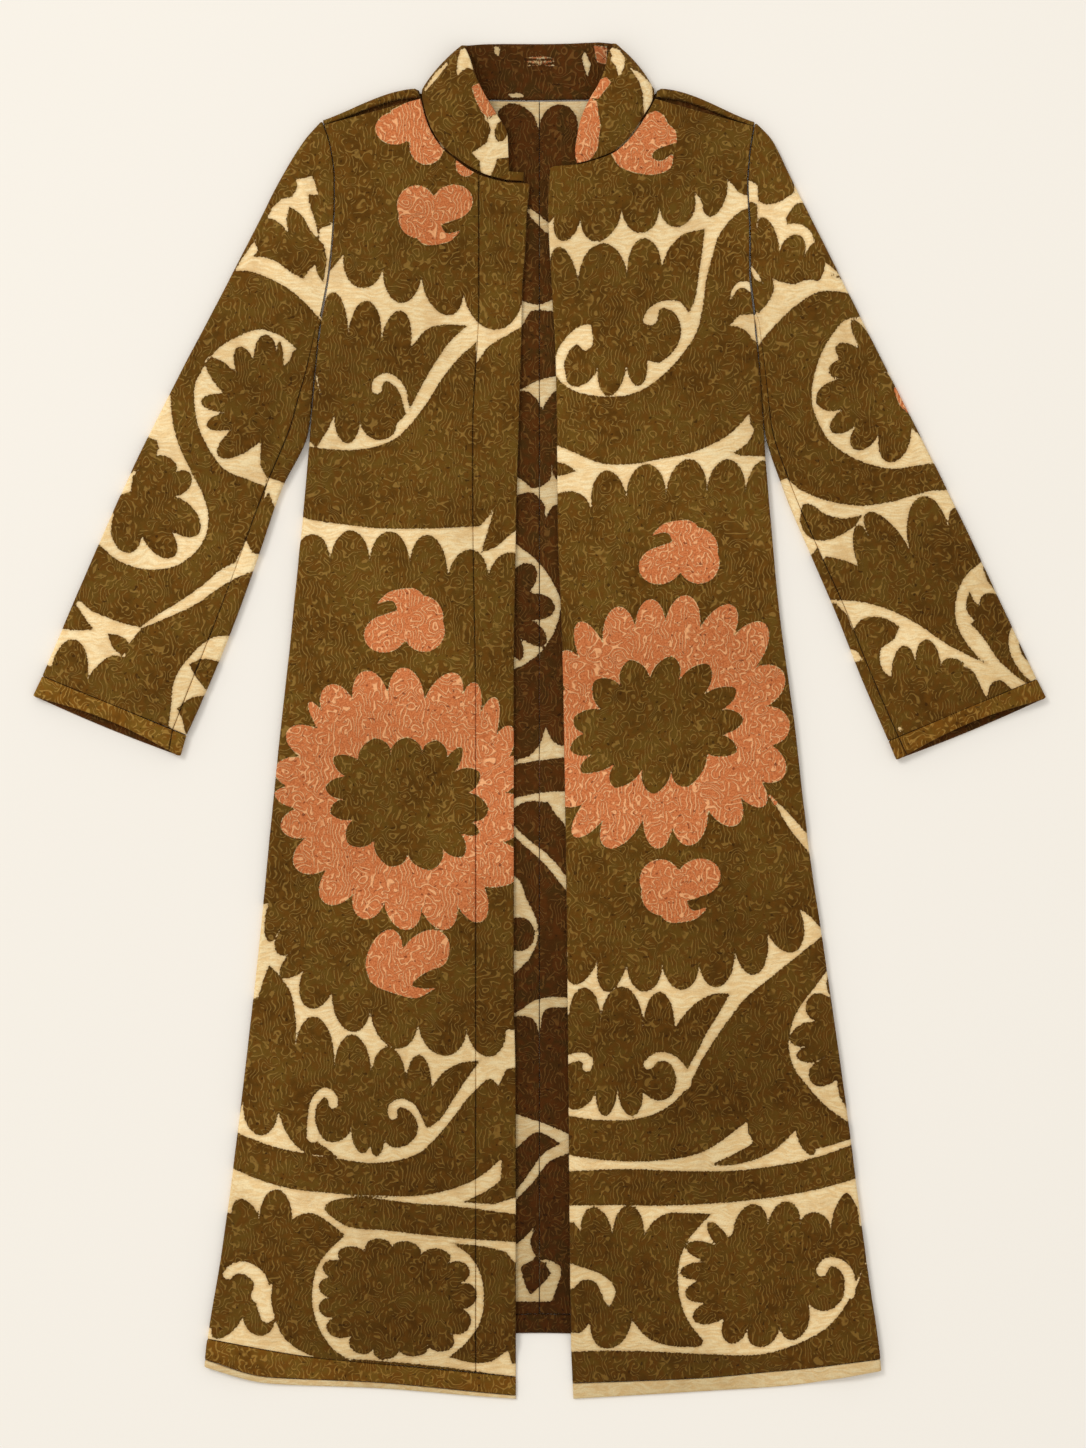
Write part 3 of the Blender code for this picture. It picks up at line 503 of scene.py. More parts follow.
def build(name, points, faces, inner, facing, values):
    """The mesh of one piece, with its pattern on the points and a material for each side."""
    polygons = faces + inner
    if facing < 0:
        polygons = [polygon[::-1] for polygon in polygons]
    used = np.unique(np.concatenate([np.asarray(p) for p in inner] + [np.ravel(faces)]))
    renumber = np.full(len(points), -1)
    renumber[used] = np.arange(len(used))
    polygons = [renumber[np.asarray(p)].tolist() for p in polygons]
    mesh = bpy.data.meshes.new(name)
    mesh.from_pydata((points[used] * MM).tolist(), [], polygons)
    for label, column in values.items():
        kind = "FLOAT" if column.ndim == 1 else "FLOAT_VECTOR"
        layer = mesh.attributes.new(label, kind, "POINT")
        layer.data.foreach_set("value" if kind == "FLOAT" else "vector", column[used].ravel())
    mesh.materials.append(FACE[name])
    # The inside's material: the face's colours darkened, painted shade.
    mesh.materials.append(PAINTED_SHADE_INSIDE_CLOTH)
    slots = np.zeros(len(polygons), int)
    slots[len(faces) :] = 1
    mesh.polygons.foreach_set("material_index", slots)
    mesh.shade_smooth()
    mesh.validate()
    piece = bpy.data.objects.new(name + "_cloth", mesh)
    bpy.context.scene.collection.objects.link(piece)
    return piece


def crease(x, y, lines):
    """Soft ridges and troughs. Each line: its two ends in pixels, its half width in mm, its height."""
    total = np.zeros(np.shape(x))
    for x0, y0, x1, y1, width, height in lines:
        ax, ay = (x0 - PLAN_X) * PIXEL, (PLAN_Y - y0) * PIXEL
        bx, by = (x1 - PLAN_X) * PIXEL, (PLAN_Y - y1) * PIXEL
        length = math.hypot(bx - ax, by - ay)
        ux, uy = (bx - ax) / length, (by - ay) / length
        part = ((x - ax) * ux + (y - ay) * uy) / length
        wander = WANDER * width * np.sin(part * WANDER_TURN + x0)
        off = ((x - ax) * -uy + (y - ay) * ux + wander) / width
        ends = ease(part / TAPER) * ease((1 - part) / TAPER)
        total += height * ends * np.exp(-off * off)
    return total


def outward(side):
    """The direction away from the garment, square to a shoulder's fold."""
    tip = np.array(SHOULDER[side]["tip"])
    neck = np.array(SHOULDER[side]["neck"])
    way = (neck - tip) / np.linalg.norm(neck - tip)
    normal = np.array([-way[1], way[0]])
    return normal if normal[1] > 0 else -normal


def front_tip(side):
    """Where a front's shoulder seam meets the armhole."""
    return np.array(SHOULDER[side]["tip"]) - outward(side) * (FLAP_AT_TIP + SEAM)


def build_front_right():
    """The right front as far as the strip along its edge."""
    hem_y = lookup(HEM_BAND_TOP, SIDE_FOOT_RIGHT)[0] + STRIP_SEAM
    seam_foot = lookup(HEM_BAND_TOP, SEAM_FOOT)[0] + STRIP_SEAM
    corner, seam_top, tip = EDGE_RIGHT[-1][0], BAND_SEAM[-1][0], front_tip("right")
    rows = run(hem_y, corner, FINE)[: 1 - len(NEAR_EDGE)]
    seam_rows = np.interp(rows, [rows[0], LEVEL_FROM, corner], [seam_foot, LEVEL_FROM, corner])
    past = corner + (tip[1] - corner) / JOINT_SHARE
    joint = np.linspace(0, 1, JOINT_ROWS)[1:]
    neck = run(0, along(NECK_RIGHT)[-1], FINE)[len(NEAR_EDGE) :] / along(NECK_RIGHT)[-1]
    side_y = np.concatenate([rows, corner + joint * (past - corner), past + neck * (tip[1] - past)])
    seam_y = np.concatenate([seam_rows, corner + joint * (seam_top - corner)])
    left = edge_line(SIDE_RIGHT, side_y)
    left[-1] = tip
    right = np.vstack([edge_line(BAND_SEAM, seam_y), spaced(NECK_RIGHT, neck)])
    right[:, 0] -= SEAM / 2
    hem = [(x, y + STRIP_SEAM) for x, y in HEM_BAND_TOP]
    across = np.linspace(0, 1, RIGHT_COLUMNS)
    return patch(left, right, hem, None, partial(front_height, "right"), (1, 0), -1, across)


def build_front_band():
    """The strip sewn along the edge of the right front."""
    top = NECK_BAND[0][1]
    foot = lookup(HEM_BAND_TOP, SEAM_FOOT)[0] + STRIP_SEAM
    seam = edge_line(BAND_SEAM, run(foot, top, FINE))
    seam[:, 0] += SEAM / 2
    edge_foot = lookup(HEM_BAND_TOP, EDGE_FOOT_RIGHT)[0] + STRIP_SEAM
    part = (seam[:, 1] - foot) / (top - foot)
    edge = edge_line(EDGE_RIGHT, edge_foot + part * (NECK_BAND[-1][1] - edge_foot))
    height = partial(front_height, "right")
    return patch(seam, edge, None, NECK_BAND, height, (0, 0), -1, np.linspace(0, 1, BAND_COLUMNS))


def build_front_left():
    """The left front, cut in one."""
    side_foot = lookup(BINDING_TOP_LEFT, SIDE_FOOT_LEFT)[0] + STRIP_SEAM
    edge_foot = lookup(BINDING_TOP_LEFT, EDGE_FOOT_LEFT)[0] + STRIP_SEAM
    corner, tip = NECK_LEFT[0][1], front_tip("left")
    rows = run(side_foot, corner, FINE)[: 1 - len(NEAR_EDGE)]
    neck = run(0, along(NECK_LEFT)[-1], FINE)[len(NEAR_EDGE) :] / along(NECK_LEFT)[-1]
    right = edge_line(SIDE_LEFT, np.concatenate([rows, corner + neck * (tip[1] - corner)]))
    right[-1] = tip
    levels = [rows[0], LEVEL_FROM, rows[-1]]
    edge_rows = np.interp(rows, levels, [edge_foot, LEVEL_FROM, rows[-1]])
    left = np.vstack([edge_line(EDGE_LEFT, edge_rows), spaced(NECK_LEFT, neck)])
    hem = [(x, y + STRIP_SEAM) for x, y in BINDING_TOP_LEFT]
    across = np.linspace(0, 1, LEFT_COLUMNS)
    return patch(left, right, hem, None, partial(front_height, "left"), (0, 1), -1, across)


def strip(ends, tables, lower, upper, height, folds, turn, count):
    """A strip across the garment, between two lines and two edges."""
    widths = [lookup(upper, end)[0] - lookup(lower, end)[0] for end in ends]
    fractions = run(0, np.mean(widths), FINE) / np.mean(widths)
    sides = []
    for end, width, table in zip(ends, widths, tables):
        sides.append(edge_line(table, lookup(lower, end)[0] + fractions * width))
    across = np.linspace(0, 1, count)
    return patch(sides[0], sides[1], lower, upper, height, folds, turn, across)


def build_hems():
    """The strips along the lower edges of the fronts and of the back."""
    binding_top = [(x, y + w) for (x, y), w in zip(HEM_RIGHT, BINDING_WIDTHS)]
    band_foot = [(x, y + STRIP_SEAM) for x, y in binding_top]
    back_top = [(x, y + BACK_HEM_DEPTH) for x, y in HEM_BACK]
    right = partial(front_height, "right")
    left = partial(front_height, "left")
    count = STRIP_COLUMNS
    sides, ends = (SIDE_RIGHT, EDGE_RIGHT), (HEM_END_RIGHT, EDGE_FOOT_RIGHT)
    binding = strip(ends, sides, HEM_RIGHT, binding_top, right, (1, 0), -1, count)
    band = strip(ends, sides, band_foot, HEM_BAND_TOP, right, (1, 0), -1, count)
    sides, ends = (EDGE_LEFT, SIDE_LEFT), (STRIP_END_LEFT, HEM_END_LEFT)
    binding_left = strip(ends, sides, HEM_LEFT, BINDING_TOP_LEFT, left, (0, 1), -1, count)
    sides, ends = (SIDE_RIGHT, SIDE_LEFT), (HEM_END_RIGHT, HEM_END_LEFT)
    back = strip(ends, sides, HEM_BACK, back_top, back_height, (1, 1), 1, BACK_HEM_COLUMNS)
    return binding, band, binding_left, back


def shoulder_flap(side, top):
    """Rows of points that carry the back's upper edge over the shoulder's fold."""
    tip, neck = SHOULDER[side]["tip"], SHOULDER[side]["neck"]
    away = np.append(outward(side), 0)
    rows = [
        top + away * FOLD * math.sin(angle) + [0, 0, FOLD * (1 - math.cos(angle))]
        for angle in np.linspace(0, math.pi, SHOULDER_STEPS)[1:]
    ]
    from_tip = np.abs(top[:, 0] - tip[0]) / abs(neck[0] - tip[0])
    flap = FLAP_AT_TIP + (FLAP_AT_NECK - FLAP_AT_TIP) * from_tip
    return rows + [rows[-1] - part * flap[:, None] * away for part in (0.5, 1.0)]


def build_back(side):
    """Half of the back, folded forward over the shoulder, and which of its cells aren't there."""
    sign = -1 if side == "right" else 1
    table = SIDE_RIGHT if side == "right" else SIDE_LEFT
    tip, neck = np.array(SHOULDER[side]["tip"]), np.array(SHOULDER[side]["neck"])
    hem = [(x, y + BACK_HEM_DEPTH + STRIP_SEAM) for x, y in HEM_BACK]
    side_x = lookup(table, lookup(hem, sign * BACK_SIDE_FOOT))[0]
    rows = run(lookup(hem, side_x)[0], tip[1], BACK_FINE)
    edge = edge_line(table, rows)
    edge[-1] = tip
    centre_x = sign * SEAM / 2
    centre_y = np.interp(rows, [rows[0], rows[-1]], [lookup(hem, centre_x)[0], NECK_BACK[0][1]])
    centre = np.column_stack([np.full(len(rows), centre_x), centre_y])
    neck_line = [(sign * x, y) for x, y in NECK_BACK] + [tuple(neck), tuple(tip)]
    neck_line = sorted([*neck_line, (centre_x, NECK_BACK[0][1])][1:])
    width = abs(tip[0] - centre_x)
    at_neck = abs(tip[0] - neck[0]) / width
    outer = np.linspace(0, at_neck, BACK_OUTER)
    near = 1 - CENTRE_WIDTH / width
    under_neck = np.linspace(at_neck, near, BACK_NECK)[1:]
    middle = np.linspace(near, 1, BACK_MIDDLE)[1:]
    from_side = np.concatenate([outer, under_neck, middle])
    if side == "right":
        left, right, folds, across = edge, centre, (1, 0), from_side
    else:
        left, right, folds, across = centre, edge, (0, 1), 1 - from_side[::-1]
    grid = patch(left, right, hem, neck_line, back_height, folds, 1, across)
    columns = grid.shape[1]
    shoulder = FOLD_STEPS + 1 + len(outer)
    picked = slice(0, shoulder) if side == "right" else slice(columns - shoulder, columns)
    folded = shoulder_flap(side, grid[-1, picked])
    more = np.repeat(grid[-1:], len(folded), axis=0)
    more[:, picked] = folded
    skip = np.zeros((grid.shape[0] - 1 + len(folded), columns - 1), bool)
    skip[grid.shape[0] - 1 :] = True
    cells = slice(0, shoulder - 1) if side == "right" else slice(columns - shoulder, columns - 1)
    skip[grid.shape[0] - 1 :, cells] = False
    return np.concatenate([grid, more]), skip


def normals(line, inside):
    """For each point of a line, the direction square to it that points towards its partner."""
    way = np.gradient(line, axis=0)
    square = np.column_stack([-way[:, 1], way[:, 0]])
    square /= np.linalg.norm(square, axis=1)[:, None]
    square[((inside - line) * square).sum(1) < 0] *= -1
    return square


def armhole_shape(side, follow, fractions):
    """How far the armhole curve, or a part of it, lies from the line between its ends."""
    table = np.array(SIDE_RIGHT if side == "right" else SIDE_LEFT)
    hole = table[table[:, 0] >= UNDERARM_Y[side]][::-1, ::-1]
    curve = spaced(hole, fractions)
    ends = spaced(hole, [0, 1])
    return follow * (curve - ends[0] - (ends[1] - ends[0]) * np.asarray(fractions)[:, None])


def folds_of(side, rows, at_armhole):
    """The outer and inner folds of a tube, and for each the way into the cloth, row by row."""
    outer, inner = rows[:, 0:2].copy(), rows[:, 2:4].copy()
    outer_in, inner_in = normals(outer, inner), normals(inner, outer)
    if at_armhole:
        away = 1 if side == "left" else -1
        hole = np.array(SIDE_RIGHT if side == "right" else SIDE_LEFT)[:, ::-1]
        down = hole[-2] - hole[-1]
        near = np.exp(-(((along(outer) / ARMHOLE_TURN) ** 2)))[:, None]
        outer_in += near * (down / np.linalg.norm(down) - outer_in)
        inner_in += near * ((UNDERARM_WAY[0] * away, UNDERARM_WAY[1]) - inner_in)
        outer[:, 0] += 2 * ARMHOLE_SEAM * away * near[:, 0]
        inner[:, 0] += ARMHOLE_SEAM * away * near[:, 0]
    return outer, inner, outer_in, inner_in


def layer(start, end, fractions, bulge, drawn, height):
    """Points of one layer of a tube between its folds, drawn towards the mouth by so much."""
    span = end - start
    flat = start + span * fractions[:, None] + bulge(fractions)
    mouthwards = np.array([-span[1], span[0]]) / np.linalg.norm(span)
    mouthwards *= -np.sign(mouthwards[1])
    flat += (drawn * np.sin(np.pi * fractions))[:, None] * mouthwards
    return np.column_stack([flat, height + 0 * fractions])


def tube(side, table, step, at_armhole, mouth=False):
    """Rows of points round a flattened tube of cloth, from one side of its seam to the other."""
    table = np.array(table, float)
    place = along(table)
    rows = read(place, table, run(0, place[-1], step))
    seam, rise = rows[:, 4], rows[:, 5]
    outer, inner, outer_in, inner_in = folds_of(side, rows, at_armhole)
    inset = FOLD + WALL / 2
    turning = np.linspace(0, math.pi, TURN_STEPS)[1:-1, None]
    middle = (UPPER + LOWER) / 2
    far = along(outer)
    grid = []
    for i in range(len(rows)):
        start = outer[i] + inset * outer_in[i]
        end = inner[i] + inset * inner_in[i]
        width = np.linalg.norm(end - start)
        at_seam = 1 - max(seam[i] - inset, SEAM_CLEAR) / width
        follow = math.exp(-((far[i] / ARMHOLE_REACH) ** 2)) if at_armhole else 0.0
        bulge = partial(armhole_shape, side, follow)
        open_part = i / (len(rows) - 1) if mouth else 0.0
        gap = SEAM / width
        to_fold = at_seam + (1 - at_seam) * np.array([0, 0.1, 0.25, 0.5, 0.75, 1])
        rest = at_seam - gap
        near_seam = rest - NEAR_EDGE[::-1] / width
        from_fold = np.concatenate([np.linspace(0, near_seam[0], TUBE_COLUMNS)[:-1], near_seam])
        upper = partial(layer, start, end, bulge=bulge, drawn=-MOUTH_BACK * open_part)
        lower = partial(layer, start, end, bulge=bulge, drawn=MOUTH_OUT * open_part)
        swell = rise[i] * np.sin(np.pi * to_fold) ** CROWN_POWER
        crown = rise[i] * np.sin(np.pi * from_fold) ** CROWN_POWER
        grid.append(np.vstack([
            upper(to_fold, height=UPPER + swell),
            np.hstack([end - inner_in[i] * FOLD * np.sin(turning), middle + FOLD * np.cos(turning)]),
            lower(np.linspace(1, 0, UNDER_COLUMNS), height=LOWER),
            np.hstack([start - outer_in[i] * FOLD * np.sin(turning), middle - FOLD * np.cos(turning)]),
            upper(from_fold, height=UPPER + crown),
        ]))
    return np.array(grid)


def build_sleeve(side):
    """A sleeve with its seam on the upper layer near the inner fold, and its cuff."""
    sleeve = SLEEVE_RIGHT if side == "right" else SLEEVE_LEFT
    cuff = np.array(CUFF_RIGHT if side == "right" else CUFF_LEFT)
    way = (cuff[1] - cuff[0])[:4].reshape(2, 2)
    cuff[0, :4] += (SEAM * way / np.linalg.norm(way, axis=1)[:, None]).ravel()
    return tube(side, sleeve, SLEEVE_FINE, True), tube(side, cuff, FINE, False, mouth=True)


def build_collar():
    """The stand collar: its back lies flat, and its fronts roll over towards the middle."""
    table = np.array(COLLAR)
    place = along((table[:, 0:3] + table[:, 3:6]) / 2)
    rows = read(place, table, run(0, place[-1], COLLAR_STEP))
    seam, rim, bow = rows[:, 0:3], rows[:, 3:6], rows[:, 6]
    seam = seam + COLLAR_CLEAR * (rim - seam) / np.linalg.norm(rim - seam, axis=1)[:, None]
    way = np.gradient((seam + rim) / 2, axis=0)
    out = np.cross(rim - seam, way)
    out /= np.linalg.norm(out, axis=1)[:, None]
    grid = []
    for part in run(0, COLLAR_DEPTH, COLLAR_FINE) / COLLAR_DEPTH:
        swell = (bow * 4 * part * (1 - part))[:, None] * out
        grid.append(seam + (rim - seam) * part + swell)
    return np.array(grid).transpose(1, 0, 2)


LOBE_POINTS = 17
OVAL_POINTS = 25
BEND_STEP = 4  # pixels between the points of a bend
NIB_STEP = 1.2  # pixels between the discs of a stroke


def lobes(*marks, full=0.0, round_tip=2.0):
    """A scalloped line. The marks are a notch, the tip of a lobe, a notch and so on.

    full is how far the lobes swell past their notches. Below 2, round_tip makes their tips pointed.
    """
    marks = np.array(marks, float)
    turn = np.linspace(-math.pi / 2, math.pi / 2, LOBE_POINTS)[1:, None]
    rise = np.sqrt(np.clip(1 - np.abs(np.sin(turn)) ** round_tip, 0, 1))
    across = np.sin(turn) * (1 + full * rise)
    line = [marks[:1]]
    for start, tip, end in zip(marks[:-2:2], marks[1:-1:2], marks[2::2]):
        middle = (start + end) / 2
        line.append(middle + across * (end - start) / 2 + rise * (tip - middle))
    return np.concatenate(line)


def bend(*marks):
    """A smooth line through a few marks."""
    marks = np.array(marks, float)
    place = along(marks[:, :2])
    step = np.diff(marks, axis=0) / np.diff(place)[:, None]
    gap = np.diff(place)[:, None]
    inner = (step[:-1] * gap[1:] + step[1:] * gap[:-1]) / (gap[1:] + gap[:-1])
    tangent = np.vstack([step[:1], inner, step[-1:]])
    line = [marks[:1]]
    for i in range(len(gap)):
        count = max(2, round(gap[i, 0] / BEND_STEP))
        t = np.linspace(0, 1, count + 1)[1:, None]
        near = (1 + 2 * t) * (1 - t) ** 2 * marks[i] + t * (1 - t) ** 2 * gap[i] * tangent[i]
        far = t**2 * (3 - 2 * t) * marks[i + 1] + t**2 * (t - 1) * gap[i] * tangent[i + 1]
        line.append(near + far)
    return np.concatenate(line)


def to_outline(outline, x, y):
    """Distances from points to a closed outline, negative inside it."""
    best = np.full(x.shape, np.inf)
    odd = np.zeros(x.shape, bool)
    for (ax, ay), (bx, by) in zip(outline, np.roll(outline, -1, axis=0)):
        across, up = bx - ax, by - ay
        length = across * across + up * up
        if length == 0:
            continue
        from_x, from_y = x - ax, y - ay
        part = np.clip((from_x * across + from_y * up) / length, 0, 1)
        best = np.minimum(best, (from_x - across * part) ** 2 + (from_y - up * part) ** 2)
        crosses = (ay > y) != (by > y)
        if up:
            odd ^= crosses & (from_x < from_y * across / up)
    return np.where(odd, -1, 1) * np.sqrt(best)


def to_discs(line, x, y):
    """Distances from points to discs along a line, negative inside them."""
    best = np.full(x.shape, np.inf)
    for centre_x, centre_y, radius in line:
        best = np.minimum(best, np.hypot(x - centre_x, y - centre_y) - radius)
    return best


def shape(*parts):
    """A figure inside lines and corners, given in turn round it."""
    outline = np.concatenate([np.atleast_2d(np.array(part, float)) for part in parts])
    return outline.min(axis=0), outline.max(axis=0), partial(to_outline, outline)


def stroke(*marks):
    """A figure drawn by a round nib. The marks are x, y and the nib's radius there."""
    line = bend(*marks)
    place = along(line[:, :2])
    count = max(3, round(place[-1] / NIB_STEP))
    at = np.linspace(0, place[-1], count)
    line = np.column_stack([np.interp(at, place, line[:, i]) for i in range(3)])
    radius = line[:, 2:].max()
    return line[:, :2].min(axis=0) - radius, line[:, :2].max(axis=0) + radius, partial(to_discs, line)


def oval(x, y, width, height, turn=0):
    """An ellipse with these half widths, turned by some degrees."""
    angles = np.linspace(0, 2 * math.pi, OVAL_POINTS)[:-1]
    turn = math.radians(turn)
    right, down = width * np.cos(angles), height * np.sin(angles)
    across = x + right * math.cos(turn) - down * math.sin(turn)
    return shape(np.column_stack([across, y + right * math.sin(turn) + down * math.cos(turn)]))


def heart(x, y, size=1.0, turned=1):
    """The figures of a lopsided heart with a hook. turned is 1 for the hook at its upper left."""
    def place(across, down, *radii):
        return x + turned * size * across, y + turned * size * down, *(size * r for r in radii)

    tail = [place(6, -19, 14.3), place(-6.5, -25.2, 6.6), place(-14, -25.4, 4.3)]
    tail += [place(-20, -22.7, 2.4), place(-26.4, -18.5, 0.5)]
    return [
        oval(*place(17, -4, 21.5, 22)),
        oval(*place(19.5, 9, 20.5, 21)),
        oval(*place(-19, 12, 21.5, 18.5), turn=-15),
        stroke(place(-17, 10, 17), place(3, 1, 15)),
        stroke(*tail),
    ]


def flower(tips, centre, depth):
    """A figure with a lobe to each tip. Its notches are part of the way out from its centre."""
    tips, centre = np.array(tips, float), np.array(centre, float)
    notches = centre + depth * ((tips + np.roll(tips, -1, axis=0)) / 2 - centre)
    marks = np.stack([np.roll(notches, 1, axis=0), tips], axis=1).reshape(-1, 2)
    return shape(lobes(*marks, marks[0], full=0.2))


REACH = 8  # pixels round a figure where its distances are worked out
FAR = 30.0  # a distance that stands for nothing near


def paint(fields, colour, figure):
    """Lay one figure over the pattern so far."""
    low, high, distance = figure
    x, y = fields["x"], fields["y"]
    near = (x > low[0] - REACH) & (x < high[0] + REACH)
    near &= (y > low[1] - REACH) & (y < high[1] + REACH)
    if not near.any():
        return
    far = distance(x[near], y[near])
    for name in ("olive", "coral"):
        if name == colour:
            fields[name][near] = np.minimum(fields[name][near], far)
        else:
            fields[name][near] = np.maximum(fields[name][near], -far)


def right_front_top():
    """Motifs of the right front, from the neck to its heart under the second band."""
    yield "coral", oval(395, 130, 19, 16)
    yield "coral", oval(427, 148, 17, 18)
    yield "coral", shape((391, 112), (420, 98), (436, 130), (445, 152), (427, 150), (400, 140))
    yield "coral", oval(466, 166, 10, 12)
    for figure in heart(435, 215, 0.94, -1):
        yield "coral", figure
    yield "cream", shape(
        (312, 228), (331, 228), (328.4, 274.5),
        lobes((344.5, 255.5), (359.4, 288.8), (384, 267.6), (399, 303.8), (422, 278),
              (443.7, 315.5), (463.5, 293.5), (499.7, 330.5), (523, 281)),
        (530, 281), (530, 328),
        bend((521, 328), (508, 335.7), (489, 347.5), (476.5, 364)),
        bend((476.5, 343), (461, 357), (443, 379), (429, 401), (413, 423), (395, 440),
             (375, 447.6), (357, 450.6), (330, 450), (300, 446)),
        (300, 441), (311, 443),
        lobes((316, 446), (322, 441), (335, 416), (346.5, 444), (360.7, 422), (379.4, 441), (397, 425)),
        (409.4, 412.4),
        bend((409.4, 412.4), (419, 393), (427, 378), (438, 360), (453, 340), (468, 326.7)),
        bend((468, 326.7), (444, 326), (430, 329), (414, 345)),
        lobes((411, 348), (402, 312), (382, 340), (368, 302), (349, 335.6), (336, 294), (322.4, 322)),
        (312, 324),
    )
    yield "cream", stroke((409, 414, 3), (406.4, 405, 2.5), (403.4, 393, 3.4), (396, 382.4, 3.9),
                          (386, 378, 3.9), (378, 384, 5.0), (377.5, 390, 5))
    yield "cream", stroke((316.5, 376, 1), (321.5, 397, 0.5))
    yield "cream", shape(
        bend((290, 512), (311.5, 520), (344.6, 525), (374.5, 528.6), (432.5, 529), (480, 527)),
        bend((480, 527), (489, 516.5), (494.7, 506)), (490, 525), (481.4, 552.6),
        bend((481.4, 552.6), (495.5, 548), (507, 538), (522, 526)), (530, 566),
        lobes((524, 572), (507, 553), (488, 581), (470.7, 550), (448, 580), (431, 536), (410, 566),
              (391, 532), (370.3, 562), (350.4, 531), (331, 564.6), (310.6, 535), (290, 575)),
    )
    for figure in heart(405, 622):
        yield "coral", figure


def right_front_middle():
    """The large rosette of the right front, the heart under it and the bands below them."""
    yield "coral", shape(lobes(
        (389, 697), (405, 668), (425, 700), (452.5, 673), (461, 700.5), (477.5, 684), (479, 718),
        (497, 699), (495, 737.5), (513, 728), (509, 757), (527, 768), (503, 793), (528, 815),
        (500, 842), (524, 870), (484, 886), (482, 921), (456, 901), (446, 929), (421.5, 906),
        (405, 929), (385, 901), (364, 918), (354, 893), (324, 901), (328.5, 868), (296, 867),
        (308, 837), (282, 828), (299, 808), (276, 796), (292, 787), (276, 767), (304, 758),
        (288, 731), (320, 730), (309, 704), (323, 712), (330, 685), (354, 702), (366, 671),
        (389, 697),
    ))
    yield "olive", shape(lobes(
        (359, 760), (375, 738), (391, 755), (407, 737), (422, 754), (437, 740), (447, 758),
        (463, 748), (455, 772), (480, 772), (468, 793), (489, 809), (470, 821), (479, 834),
        (460, 832), (464, 856), (442, 847), (431, 870), (408, 852), (389, 866), (375, 840),
        (349, 844), (354, 819), (331, 813), (344, 799), (326, 787), (347.5, 777), (334, 757),
        (359, 760), full=0.2, round_tip=1.4,
    ))
    yield "coral", shape(
        lobes((402.7, 950), (386, 930), (366, 965)),
        bend((366, 965), (371, 980), (397, 993), (415.7, 997), (437, 987)),
        bend((437, 987), (424, 988), (412, 984.5), (424, 973), (443, 965)),
        lobes((446, 962), (438, 930), (402.7, 950)),
    )
    yield "cream", shape(
        (250, 905), (269.6, 903),
        lobes((269.6, 903), (267, 938), (281.6, 928), (277, 951), (293.6, 950), (281, 975),
              (304, 970), (307, 1006), (333, 991), (349, 1030), (371.3, 1007.6), (394, 1047),
              (418.5, 1020.6), (443.4, 1055), (467, 1026), (488, 1056), (506, 1029), (524, 1055)),
        (530, 1030), (530, 1064), (506, 1068.6),
        bend((499, 1085), (492, 1078), (475, 1090), (449, 1122), (434, 1139), (421, 1151),
             (403, 1158), (379, 1161.5), (329, 1155.6), (277, 1146), (225, 1127)),
        (225, 1111), (240, 1113),
        lobes((244, 1101), (259, 1134), (279, 1111)),
        bend((279, 1111), (288, 1133), (301, 1148), (319.5, 1155.6), (340, 1157.4)),
        bend((340, 1157.4), (329, 1148), (318, 1139), (321, 1130)),
        lobes((321, 1130), (336, 1141), (351.5, 1126), (360, 1151), (370.4, 1140), (378, 1155),
              (385, 1136), (402, 1146), (418, 1128)),
        bend((430.5, 1126), (440, 1118.6), (452.7, 1100), (465.6, 1080), (480.4, 1059.4)),
        bend((480.4, 1059.4), (458, 1063), (443, 1072), (432, 1087)),
        lobes((432, 1087), (420, 1054), (406.4, 1082.5), (390, 1046), (371.7, 1076), (354.7, 1034),
              (334.7, 1067), (319.5, 1017), (296.4, 1045.5)),
        bend((297, 1026), (295.5, 1009.5), (291, 991), (279, 974), (269.6, 964)),
        bend((269.6, 964), (264, 980), (259, 996.5)), (250, 1000),
    )
    yield "cream", stroke((314, 1135, 6.5), (312, 1115, 3.4), (317, 1098, 4), (326, 1091, 4.6),
                          (333, 1097, 5), (334, 1103, 4.6))
    yield "cream", stroke((424, 1132, 5), (420, 1119, 3), (410, 1105, 4.2), (400, 1102, 4.2),
                          (393, 1107, 4.6), (393.5, 1114, 4.6))


